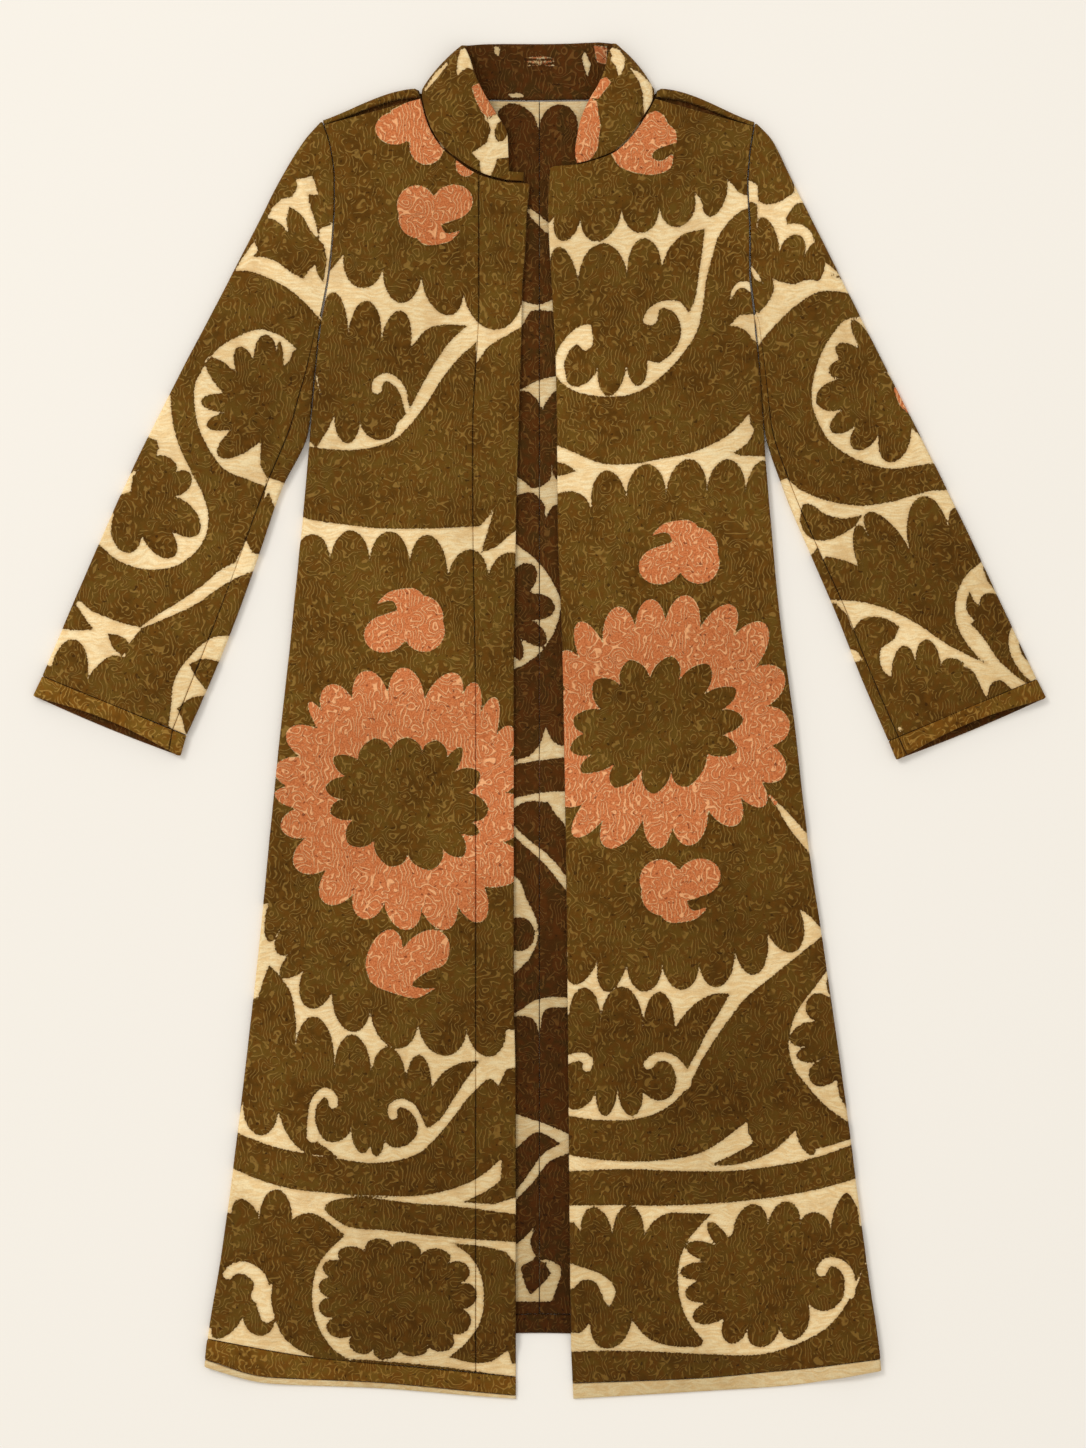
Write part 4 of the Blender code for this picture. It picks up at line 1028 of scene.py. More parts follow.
def right_front_foot():
    """The dark blade, the small rosette in its ring and the peaks beside it."""
    yield "cream", shape(
        bend((215, 1158), (235, 1168), (281, 1185), (334, 1192), (376, 1194.7), (436, 1192),
             (476, 1178), (502, 1158)),
        (501, 1178), (494, 1185), (480, 1193), (463, 1201), (494, 1203), (530, 1192), (530, 1216),
        bend((514, 1213), (456, 1205), (416, 1202), (344, 1197), (334, 1199), (325.5, 1205),
             (342, 1222), (386, 1229), (446, 1235.5), (530, 1242)),
        (530, 1262), (514, 1260.6), (506, 1250.5),
        bend((506, 1250.5), (486, 1245.5), (451, 1241.5)),
        bend((451, 1241.5), (466, 1250.5), (480, 1270.6), (484, 1295), (480, 1321), (466, 1341),
             (449, 1356)),
        bend((449, 1356), (472, 1362), (490, 1361), (508, 1349)), (512, 1363), (530, 1364),
        (530, 1382), bend((510, 1376), (466, 1369), (402, 1362), (345, 1357)),
        bend((352, 1359), (338, 1351), (323.5, 1333), (314.5, 1311), (313, 1291), (319.5, 1262.6),
             (334, 1244.5), (346, 1234)),
        bend((346, 1234), (325.5, 1218), (313.5, 1212), (299, 1214), (293, 1218)),
        lobes((293, 1218), (277, 1188), (260, 1218), (244, 1198), (233, 1212)),
        (222, 1212), (222, 1178), (232, 1180), (215, 1172),
    )
    tips = [(377, 1237), (408, 1240), (444, 1248.5), (468, 1264.6), (477, 1293), (470, 1325),
            (449, 1348), (417, 1355), (384, 1358), (357, 1351), (329.5, 1331), (319.5, 1307),
            (319.5, 1284), (324.5, 1262.6), (343.6, 1246.5)]
    yield "olive", flower(tips, (398, 1297.6), 0.83)
    yield "cream", stroke((259, 1294, 7), (262, 1281, 7), (253, 1270, 6.5), (241, 1266, 6),
                          (232, 1269, 5), (229, 1273, 5))
    yield "cream", shape(
        (200, 1324), (213, 1327),
        lobes((213, 1327), (224, 1336), (243.6, 1314), (260, 1334), (275.7, 1317)),
        bend((275.7, 1317), (283, 1333), (295, 1345), (313.5, 1354.6)),
        bend((285, 1354), (245, 1348), (200, 1336)),
    )
    yield "cream", shape(bend((273, 1282), (272, 1300), (275.7, 1317)), (268, 1322), (262, 1318),
                         bend((262, 1318), (258, 1305), (253, 1290)))


def left_front_top():
    """Motifs of the left front, from the neck to its heart under the second band."""
    yield "coral", shape(
        bend((611, 150), (619.6, 143), (629.2, 136), (640.7, 124.9), (647, 116), (656, 112.5)),
        bend((656, 112.5), (663.6, 117.2), (667.4, 125), (675, 132.5), (676.5, 144)),
        bend((676.5, 144), (663.6, 147.8), (655, 151.7), (651.6, 157.4), (654, 161.2),
             (661.7, 162.2), (671.3, 155.5)),
        bend((672.8, 157.4), (671, 168), (656, 175.6), (640.7, 175), (627.3, 171.7), (617.7, 166),
             (611, 154)),
    )
    yield "cream", shape((642, 98), (652, 98), (643.5, 118))
    yield "cream", shape(
        (540, 220), (548.8, 224.4), (554.2, 217.7),
        lobes((554.2, 217.7), (563, 242.5), (580.8, 219), (599.5, 242.5), (621.9, 209.4),
              (641, 234.5), (659.2, 208.1)),
        lobes((659.2, 208.1), (682, 227), (693.6, 193), full=0.15),
        bend((693.6, 193), (700, 200), (703, 208)),
        lobes((702, 205), (717, 214.5), (726.7, 180.7), full=0.1),
        bend((726.7, 180.7), (733, 187), (738, 193.7), (745, 196.6), (760, 198)), (762, 209),
        bend((762, 209), (743, 211), (728.7, 222.4), (718, 237.7), (711.4, 258.8), (705.7, 281.7),
             (701.9, 310.4), (696, 333.4), (682.7, 354.4), (667.4, 371.7), (648.3, 387),
             (629.2, 395.6), (608, 397.5), (583.3, 394.6), (566, 387), (556, 375.5), (554.6, 364),
             (556.5, 354.4), (566, 339), (583.3, 326), (590.9, 325.8)),
        bend((590.9, 325.8), (592.5, 336), (591.9, 346.8), (585.2, 351.6), (576.6, 344.9)),
        bend((576.6, 344.9), (568.9, 352.5), (564, 366), (566, 375.5)),
        lobes((566, 375.5), (580, 387), (597.6, 366.9), (609, 397), (626.3, 365.9), (639, 387),
              (647, 361)),
        bend((647, 361), (657.9, 364), (667.4, 358.3), (677, 346.8), (680.8, 333.4),
             (678.9, 321.9), (673.2, 313.3), (659.8, 310.4), (657.9, 316.2), (656.9, 321.9),
             (652, 326.5), (643, 323.8), (644.5, 316.2), (654, 305.7), (667.4, 301.8),
             (678.9, 302.8), (688.5, 314.3)),
        bend((688.5, 314.3), (692.3, 306.6), (699, 272), (704.7, 230)),
        bend((704.7, 230), (682.7, 235.8), (669.4, 249.2), (661.7, 266.4)),
        lobes((661.7, 266.4), (641, 240), (627.3, 278.5), (600, 245), (578.5, 288.4),
              (562.5, 249), (549.8, 272.2)),
        (540, 272),
    )
    yield "cream", stroke((730.5, 301, 0.8), (733, 292, 2), (739, 286.5, 3), (745.5, 286, 3.4),
                          (750, 290, 3.4))
    yield "cream", shape(bend((729.6, 326.7), (738.2, 317), (748.7, 315.5)), (762, 315), (762, 345),
                         bend((752.6, 341), (745.9, 332.4), (736.3, 327.7), (729.6, 326.7)))
    yield "cream", shape(
        bend((540, 440), (556.8, 445.8), (575.3, 453.8), (602.6, 464.3), (625.1, 465.5),
             (665.3, 458.7), (687.8, 454.6), (708.7, 446.6), (726.4, 437), (748.9, 415.3)),
        (750, 425), (753.7, 430.5),
        bend((753.7, 430.5), (748.9, 441), (739.3, 449.8), (731, 453.8)), (739.3, 456.3),
        (775, 457.5), (775, 472), (766, 468),
        lobes((770, 480), (759, 462), (744.9, 494), (728, 460), (706.3, 491.6), (687.8, 460),
              (665.8, 494.8), (646, 465), (626.3, 497.2), (603, 472), (592.2, 511.7)),
        bend((592.2, 511.7), (584, 497), (572.1, 491.9), (558.4, 494), (540, 498)),
    )
    yield "olive", shape((540, 462), (557.6, 462.7), (566.5, 465.1), (576.5, 471.5), (566, 475.5),
                         (540, 478))
    for figure in heart(679, 554):
        yield "coral", figure


def left_front_middle():
    """The large rosette of the left front, the heart under it and the scallops beside them."""
    yield "coral", shape(lobes(
        (583.6, 803), (574, 836), (603.4, 818.8), (611, 848), (643, 817.7), (656.2, 848),
        (671.6, 823.2), (693, 844), (706.8, 807.8), (735.4, 825), (737.6, 793.5), (763, 806),
        (759.6, 780.3), (785, 772), (769.5, 745.1), (789, 724), (765.1, 706.6), (784, 676),
        (754.1, 668.1), (766, 626), (732.1, 637.3), (730, 605), (699.1, 629.6), (687, 596),
        (665, 623), (648.5, 600), (635.3, 630.7), (615, 608), (603.4, 645), (578, 623),
        (581, 661), (560, 655), (566, 690), (550, 720), (562, 745), (548, 790), (583.6, 803),
    ))
    yield "olive", shape(lobes(
        (614.4, 763.8), (615, 788), (641.9, 769.3), (654, 794), (671.6, 766), (687, 787),
        (706.8, 753.9), (736, 752), (720, 734.1), (743, 720), (721.1, 709.9), (735, 688),
        (703.5, 694.5), (708, 664), (678.2, 681.3), (671, 656), (649.6, 679.1), (629, 660),
        (621, 686.8), (594, 681), (601.2, 709.9), (574, 717), (585.8, 733), (570, 750),
        (592.4, 753.9), (582, 773), (614.4, 763.8), full=0.2, round_tip=1.4,
    ))
    for figure in heart(679.5, 889, 1.0, -1):
        yield "coral", figure
    yield "cream", shape((774, 803), (781.6, 806), (808, 835.3), (830, 850), (830, 872),
                         (811.3, 856.2), (788.2, 827.6))
    yield "coral", stroke((769, 795, 0.8), (775, 803, 2))


def left_front_bands():
    """The scalloped band of the left front, the half medallion at its side and the horns."""
    yield "cream", shape(
        (555, 950), (568.1, 951.9),
        lobes((568.1, 951.9), (574, 984), (598.2, 957.2), (606, 991), (626.6, 962.5), (644.3, 991),
              (662.3, 962.9), (682, 989), (698.3, 961.4), (719, 986), (733.9, 949.1), (757, 973),
              (766.1, 931.3), (796, 950), (798.9, 908.9)),
        bend((798.9, 908.9), (809.5, 915.9), (818.6, 926.5)), (832, 930),
        bend((819.7, 937.1), (795.7, 956.1), (764, 981.5), (747, 995.3), (723.7, 1024.9),
             (702.6, 1056.7), (683.5, 1090.6), (670.8, 1103.3), (653.9, 1112.8), (632.7, 1118.1),
             (605.2, 1119.1), (555, 1113)),
        (555, 1101), (569.2, 1101.1),
        lobes((566, 1099), (580, 1108), (595.6, 1088), (605, 1115), (617.4, 1087.4), (631, 1115),
              (642.6, 1090.6)),
        bend((642.6, 1090.6), (650, 1097), (659.2, 1099.7), (670.8, 1094.8), (676.5, 1080)),
        (685.6, 1070.4),
        bend((685.6, 1070.4), (696.2, 1052.4), (706.8, 1031.3), (717.4, 1014.3), (729.7, 992.5)),
        bend((729.7, 992.5), (713.1, 993.2), (696.2, 1001.6), (683.5, 1014.3), (674.4, 1027)),
        lobes((674.4, 1027), (659.2, 991), (642.6, 1027), (623.2, 986), (600.5, 1020.7),
              (586, 987), (569.2, 1014.3)),
        (555, 1014),
    )
    yield "cream", stroke((684, 1082, 7), (680, 1069, 6), (673, 1059.5, 4.6), (663, 1055.5, 4.4),
                          (654, 1057.5, 4.6), (648.5, 1063.5, 5))
    yield "cream", stroke((560, 1062, 5), (573, 1057, 4), (582, 1056, 4.5), (588, 1061, 5.5),
                          (587, 1067, 4))
    yield "cream", shape(
        (834, 960),
        bend((824.3, 973), (810.5, 991), (795.7, 1012.2), (789.4, 1031.3), (788.3, 1048.2),
             (793.6, 1067.3), (806.3, 1084.2), (823.3, 1103.3), (850, 1123)),
        (860, 1110), (850, 960),
    )
    yield "olive", shape(
        (830, 996),
        lobes((829, 997), (806, 1001), (819, 1022), (791, 1032), (805, 1046), (800, 1060),
              (825, 1056), (809, 1079), (836, 1079), full=0.3),
        bend((836, 1079), (839, 1095), (846, 1108)),
        (870, 1110), (870, 1000),
    )
    yield "olive", shape((832, 970), bend((826, 979), (826, 988), (830, 996)), (845, 1010))
    yield "cream", shape(
        bend((555, 1150), (568.1, 1153.7), (590.3, 1157.3), (622.1, 1160), (658.1, 1159.4),
             (683.5, 1156.2), (704.7, 1149.8), (721.6, 1139.3), (746.6, 1120.2)),
        bend((746.6, 1120.2), (748.1, 1132.9), (752.3, 1140.3), (738.6, 1149.8), (710, 1163.6)),
        bend((710, 1163.6), (725.9, 1164.2), (751.3, 1159.4), (772.4, 1149.8), (787.3, 1137.1),
             (795.3, 1128.7)),
        lobes((795.3, 1128.7), (805, 1151), (815, 1148)), (833, 1143.5), (860, 1135), (860, 1141),
        bend((847.6, 1145), (823.3, 1153.5), (802.1, 1159.5), (770.3, 1165.2), (738.6, 1169),
             (696.2, 1170), (622.1, 1167.8), (555, 1171)),
    )


def left_front_foot():
    """The flower with the curl, its ring and the peaks beside it."""
    yield "cream", shape(
        bend((555, 1204.8), (611.5, 1203.8), (666.6, 1204.3), (717.4, 1201.7), (770.3, 1196.4),
             (812.7, 1189), (875, 1172)),
        (875, 1262),
        bend((863.1, 1263.1), (858.8, 1277.8), (850.4, 1294.7), (837.8, 1313.6), (823.1, 1328.4),
             (808.3, 1336.8), (791.5, 1344.1), (770.5, 1350.5), (707.3, 1352.6), (665.2, 1350.5),
             (602.1, 1349.4), (555, 1352)),
        (555, 1331.5), (581, 1331.5),
        lobes((590.1, 1321), (609, 1347), (631.6, 1316.8)),
        bend((631.6, 1316.8), (637.9, 1326.3), (648.4, 1336.8), (665.2, 1343.1), (686.3, 1345.2),
             (701, 1343.1), (703.1, 1338.9)),
        bend((703.1, 1338.9), (688.4, 1320), (681, 1303.1), (677.9, 1284.2), (677.9, 1267.3),
             (688.4, 1237.9), (698.9, 1225.2), (711.1, 1212.6)),
        bend((711.1, 1212.6), (686.3, 1211.6), (665.2, 1212.6), (650.5, 1223.1), (644.2, 1233.7)),
        lobes((644.2, 1233.7), (629, 1204), (612.2, 1232.6), (594, 1206), (581, 1230.5)),
        (573.7, 1221), (555, 1221),
    )
    yield "olive", shape(
        lobes((728, 1236), (708, 1221), (716, 1244), (686, 1243), (706, 1260), (680, 1270),
              (704, 1278), (685, 1293), (708, 1299.5), (694, 1319), (724, 1316.5), (728, 1341),
              (747, 1326.5), (762, 1345), (779, 1321), (797, 1337), (808, 1305), full=0.15),
        bend((808.3, 1303.1), (818, 1309), (829.4, 1308.4), (842, 1296.8), (846.2, 1282)),
        (855.7, 1281), (875, 1240), (868, 1225),
        bend((858.8, 1225.2), (855, 1203), (846.2, 1191.6), (834, 1208), (830, 1227.3)),
        lobes((830, 1227.3), (814.7, 1211), (799.5, 1224.2), (786, 1200), (767.3, 1224.2),
              (750.5, 1203), (732.6, 1231.5)),
    )
    yield "cream", stroke((849, 1292, 5.5), (848.5, 1275, 5.2), (842, 1264.5, 5), (833, 1260.3, 4.6),
                          (825, 1262, 5), (821, 1269, 5.6))
    yield "cream", shape(
        (555, 1260),
        bend((573.7, 1263.1), (602.1, 1273.6), (611.6, 1281), (615.5, 1290), (609.5, 1305.2)),
        bend((609.5, 1305.2), (605.3, 1301), (601, 1290.5), (595.8, 1281), (587.4, 1277.8),
             (580, 1280), (573.7, 1287.3)),
        (555, 1290),
    )


def right_sleeve_top():
    """The leaves, the stripe and the medallion of the right sleeve."""
    yield "cream", shape(
        (283, 170), bend((290, 173), (295, 179), (305, 180), (313, 177)), (320, 200), (331, 224),
        (345, 228), (345, 330), (322, 321.5),
        bend((322, 321.5), (303.1, 301.5), (284.1, 286.8), (267.3, 278.4), (250.5, 272.7),
             (236, 272)),
        (246.3, 255.2), (256.8, 240.5), (274.7, 206.8),
    )
    yield "olive", shape((286, 168), (297, 181), (298.4, 189), (292.6, 198.4), (282, 200.5),
                         (272, 210), (255, 215))
    yield "olive", shape(
        bend((320, 241), (311.5, 232.1), (303.1, 217.3), (290.4, 207.9)),
        bend((290.4, 207.9), (287.3, 219.5), (289.4, 235.2)),
        bend((289.4, 235.2), (282, 225.8), (268.3, 219.5), (258.9, 234.2), (255.7, 244.7),
             (259, 251), (253.6, 258.4)),
        bend((253.6, 258.4), (263.1, 258.4), (277.8, 263.6), (292.6, 274.2), (304.1, 280.5)),
        (309.4, 272.1), (315.7, 266), (318, 275), (324, 284), (327.5, 262), (325, 247),
        (320, 241),
    )
    yield "olive", shape(
        (310.2, 195.8), (321, 196.7), (324.5, 206), (331.8, 225.8), (320.2, 230), (319.7, 240),
        bend((319.7, 240), (316, 223.3), (311, 208.3), (308.5, 195)),
    )
    yield "olive", shape((314.3, 178), (322, 196), (340, 225), (340, 170))
    yield "cream", shape(
        bend((297.8, 350), (277.8, 335.2), (258.9, 331), (239.9, 337.3), (218.9, 349.9),
             (204.2, 368.9), (195.7, 387.8), (195.3, 402.5), (199.9, 427.8), (212, 453),
             (227.7, 471.7), (247.5, 479.7), (266, 487)),
        (267.2, 477.7), (261, 465.7), (262, 442.5),
        lobes((261, 443), (222, 459), (232.6, 430.5), (208, 427), (225.5, 413.5), (202, 403),
              (224.8, 394.5), (207, 360), (238, 374.6), (238, 349), (254.5, 361), (265.5, 336),
              (277.7, 356), (281.5, 343), (284.7, 368)),
        (291, 361), (294, 352),
    )


def right_sleeve_foot():
    """The flower, the stripe and the leaves near the right cuff."""
    yield "cream", shape(
        (160, 392),
        bend((171.5, 396.2), (172.6, 415.2), (179, 443), (192.1, 471.7), (204, 495.5),
             (209.5, 515.2), (207.9, 533), (198.1, 550.8), (180.3, 564.7), (152.6, 570.2),
             (124.9, 563.7), (95, 541)),
        (70, 530),
    )
    yield "olive", shape(
        (132, 492), (134, 477), (141, 469),
        lobes((150, 464), (167, 457), (177, 473), (193, 480), (177, 497), (202, 529),
              (172.5, 531), (171, 559), (143.4, 536), (122, 551), (115, 516), full=0.2),
        (108, 500),
    )
    yield "olive", shape((146, 436), (157.9, 441.5), (160, 448.9), (154.7, 461.5), (145, 468),
                         (122, 478))
    yield "cream", shape(
        (143.7, 628), bend((143.7, 626), (160.5, 614.1), (180.3, 602.2), (204, 585.4),
                           (224.7, 568.6), (236.6, 562.7)),
        (246.5, 540), (253.4, 553.8), (264, 555), (262, 571), (253.4, 571.6), (234.6, 579.5),
        bend((219.8, 588.4), (194.1, 606.2), (168.4, 618), (146, 627.5)),
    )
    yield "cream", shape(
        bend((143.7, 628), (128.9, 625), (109.1, 618), (91.3, 610.1), (80.4, 600.3)),
        (77.4, 604.2), (83.4, 614.1), (95, 630), (77.4, 630.9), (55, 628), (35, 657),
        (52.7, 667.5),
        lobes((52.7, 667.5), (77, 640), (88.7, 679.3)),
        bend((88.7, 679.3), (97.2, 667.5), (115, 655.6), (126, 658)), (131, 643),
    )
    yield "olive", shape(bend((109.1, 633.9), (122.9, 636.8), (131, 645), (124, 656)),
                         bend((124, 656), (115, 649), (109.1, 633.9)))
    yield "cream", shape(
        (240, 634),
        bend((228.7, 635.8), (213.9, 637.8), (204, 643.8), (192.1, 655.6), (182.2, 667.5),
             (174.3, 685.3), (172.4, 705), (169.4, 726)),
        (190, 742), (240, 700),
    )
    yield "olive", shape(bend((190.1, 664.5), (200, 659.6), (225, 663)), (222, 705),
                         (206, 689.2), (197.1, 677.4))
    yield "olive", shape((222, 690), (202, 696.1), bend((194.1, 697.1), (184.2, 703.1), (178.3, 709)),
                         (183.2, 718.9), (188, 740), (215, 740))
    yield "cream", shape((268, 478), (286, 484), (277, 514), (270, 493), (265, 499))


def left_sleeve_top():
    """The leaves, the stripe and the medallion of the left sleeve."""
    yield "cream", shape(
        (744, 180), (757, 186), (757.8, 203),
        bend((757.8, 203), (765.5, 205.8), (778, 203.5), (788.8, 197.2), (794.2, 194.5)),
        (793, 184), (812, 195), (870, 290),
        bend((850, 295), (832, 292), (815.8, 294), (801.4, 302), (785.3, 315.6), (771, 330),
             (757, 348), (748, 362)),
        (740, 350),
    )
    yield "olive", shape((742, 206), (752, 203), (757, 206), (757, 224), (752, 240), (742, 262))
    yield "olive", shape(
        bend((806, 203.5), (796, 205.3), (790, 212), (785.3, 220), (786.2, 226)),
        bend((786.2, 226), (794, 225), (803, 226.8), (811, 235), (813, 241)),
        (822, 243), (850, 240), (822, 190),
    )
    yield "olive", shape(
        (750, 224), (757, 230),
        lobes((757, 230), (768, 222), (778.6, 253.2), (797, 236), (803.2, 257.8), full=0.1),
        bend((803.2, 257.8), (809, 248), (817.6, 240)),
        (824, 243), (850, 285), (842, 277.5), (833, 271), (829, 266), (823.8, 263.6),
        bend((823.8, 263.6), (823.8, 271), (818.5, 282.4)),
        bend((818.5, 282.4), (806.8, 281.2), (794.2, 285.5), (781.7, 283.7), (771, 279.7)),
        bend((771, 279.7), (773.6, 287.8), (769.1, 301.3), (758.3, 313.9)),
        (750, 311),
    )
    yield "olive", stroke((831, 276.5, 0.8), (842, 279, 1.3))
    yield "cream", shape((749, 266), (755, 271), (763, 285), (754, 280))
    yield "cream", shape(
        (872, 318), (860.8, 317.3),
        bend((860.8, 317.3), (843.9, 321.5), (833.4, 333.1), (822.9, 349.9), (814.5, 373.1),
             (810.7, 392), (812.3, 408.9), (818.7, 425.7), (829.2, 442.5), (846, 455.2),
             (871.3, 465.7), (892.3, 469.5), (913.4, 466.7), (945, 462)),
        (950, 455),
    )
    yield "olive", shape(
        lobes((880, 353), (853, 321), (859.7, 351), (838, 345), (839.7, 360), (828, 373),
              (844, 379)),
        lobes((844, 379), (815, 400), (843, 410), (830, 432), (855, 426.5), (855, 451),
              (878, 434), (892, 463), (910.5, 428), full=0.2),
        (922, 440), (934, 462), (950, 455), (915, 400),
    )
    yield "cream", shape((912, 430), (919, 436), (931, 462), (921, 466), (914, 450))
    yield "cream", shape((878.6, 373.1), (886, 374), (892, 380), (900, 384), (896, 372))
    yield "coral", shape((893.4, 388), bend((893.4, 390), (899.7, 406.8), (908.1, 414.1)),
                         (920, 415), (905, 388))


def left_sleeve_foot():
    """The flowers, the stripe and the leaves near the left cuff."""
    yield "cream", shape(
        bend((965, 485), (946.1, 490.5), (930.3, 491.5), (908.5, 497.4), (890.7, 502.4),
             (857.1, 506.3), (839.3, 504.4), (819.5, 499.4), (797.8, 489.5)),
        (786, 479), (770, 485), (795, 556), (811.6, 554.8), (816.6, 547.9), (822.5, 560.7),
        bend((824.5, 556.8), (839.3, 559.7), (859.1, 567)),
        lobes((857.7, 567), (853, 530), (867.7, 537), (873, 513), (908, 549), (918, 498),
              (947.5, 528), (956, 508), (970, 530)),
    )
    yield "olive", shape(
        bend((801.7, 505.4), (806.7, 504.4), (825.5, 515.2), (843.3, 519.2), (861, 516)),
        bend((861, 516), (853.2, 527.1), (841.3, 535), (825.5, 540.9), (813.6, 540), (805.7, 535),
             (799, 522)),
    )
    yield "cream", shape(
        (815, 600), bend((830.4, 600.3), (859.1, 602.2), (882.8, 608.2), (908.5, 620),
                         (948, 645.7), (985.6, 664.5)),
        bend((985.6, 664.5), (973.8, 653.6), (961.9, 637.8), (955, 622), (954, 606.2),
             (957.9, 588.4), (967.8, 572.6), (979.7, 562.7)),
        (1000, 560), (1060, 680), (1040, 700), (984, 705),
        bend((986, 700), (981, 690), (969.8, 669.5), (959, 663)),
        lobes((968, 672), (950, 658), (940, 671), (927, 640), (914, 663), (900, 647),
              (890.7, 678)),
        bend((890.7, 678), (882.8, 671.4), (878.9, 659.6), (879.8, 649.7), (892.7, 639.8),
             (898.6, 626.9)),
        bend((898.6, 626.9), (884.8, 619), (869, 617.1), (859.1, 621), (852, 631)),
        (847, 616), (835.4, 604),
    )
    yield "olive", shape(bend((1009.3, 688.2), (998, 680), (990.6, 683.3), (985, 700)), (1020, 700))
    yield "olive", shape(
        (1030, 625), (1012, 628), bend((1010.3, 627.9), (1007.4, 640), (1010, 655), (1018, 669.5),
                                       (1032, 684)),
        bend((1024, 683), (1007.4, 670), (995.5, 658), (987.6, 646), (978.7, 634), (969, 624)),
        bend((973.8, 621), (965.8, 612.1), (965, 603), (968.8, 590.4)),
        bend((968.8, 590.4), (972, 600), (978, 606)),
        bend((978, 606), (980, 597), (989.6, 593), (1000, 597)), (1020, 600),
    )
    yield "olive", shape((981.3, 568), (986, 581), (995, 592), (1010, 590), (995, 562))
    yield "olive", shape((1018, 644), (1021, 655), (1029, 663), (1040, 660), (1030, 640))
    yield "cream", shape((845, 648), (856, 651), (862, 660), (853, 663))
    yield "cream", shape((895.7, 727), (900, 727), (903, 734), (900, 732))


def collar_motifs():
    """Motifs on the collar's outer face."""
    yield "cream", shape(
        (461.4, 53), (466.8, 52), (471.5, 57), (474, 64), (477, 75.5), (468, 72.8), (463, 75.5),
        (459, 80.2), (457.4, 77.5), (458.5, 64),
    )
    yield "coral", shape((472, 91), (480, 88), (488, 101), (497, 117), (488, 121), (482, 116),
                         (476, 104))
    yield "cream", stroke((426, 92, 1.2), (436, 80, 2.4), (447, 68, 1.6))
    yield "cream", shape(
        (482.9, 121.7), (490.9, 121.7), (499, 116), (512, 130), (512, 170), (507, 180),
        (489.6, 177.9), (481.5, 175.3), (480.2, 163.2), (472.1, 155.2), (478.8, 151.2),
        (486.9, 145.8), (490.9, 133.7), (489.6, 127.1),
    )
    yield "olive", oval(501.5, 134, 6.5, 10.5, 12)
    yield "olive", shape((497.6, 161.2), (512, 159), (512, 182), (489.6, 179), (495, 168.6))
    yield "cream", shape(
        (608.7, 51), (619.5, 53), (624.5, 62.8), (623.5, 72.1), (618.8, 82), (615.4, 70.8),
        (610.1, 65.4), (611.4, 60.1),
    )
    yield "cream", shape((628.8, 71.5), (637.5, 74.8), (652, 87), (652, 110), (643.6, 117.7),
                         (642.2, 96.2), (638.2, 84.2))
    yield "coral", shape((600, 84), (606, 82), (610.5, 87), (598, 103), (587, 101.6))
    yield "coral", shape(
        (588, 101.6), bend((596.7, 105.6), (598, 117.7), (599.8, 127.1), (598.7, 139.1),
                           (596.7, 151.2), (590, 160.5)),
        (572, 170), (572, 110),
    )


def collar_inside_motifs():
    """Motifs on the collar's inner face, at the back of the neck."""
    yield "cream", shape((584.6, 51.4), (582, 60), (587.3, 77.5), (590.7, 65.4))
    yield "cream", shape((494, 46.7), (500, 48), (499, 57), (495, 55))
    yield "coral", shape((594, 46.7), (607, 48), (606, 65), (597, 63))
    yield "cream", oval(516.3, 96.3, 8, 2.3)
    for row in range(3):
        yield "coral", stroke((528, 59 + 3.6 * row, 0.6), (541, 58 + 3.6 * row, 0.7),
                              (554, 59.5 + 3.6 * row, 0.5))


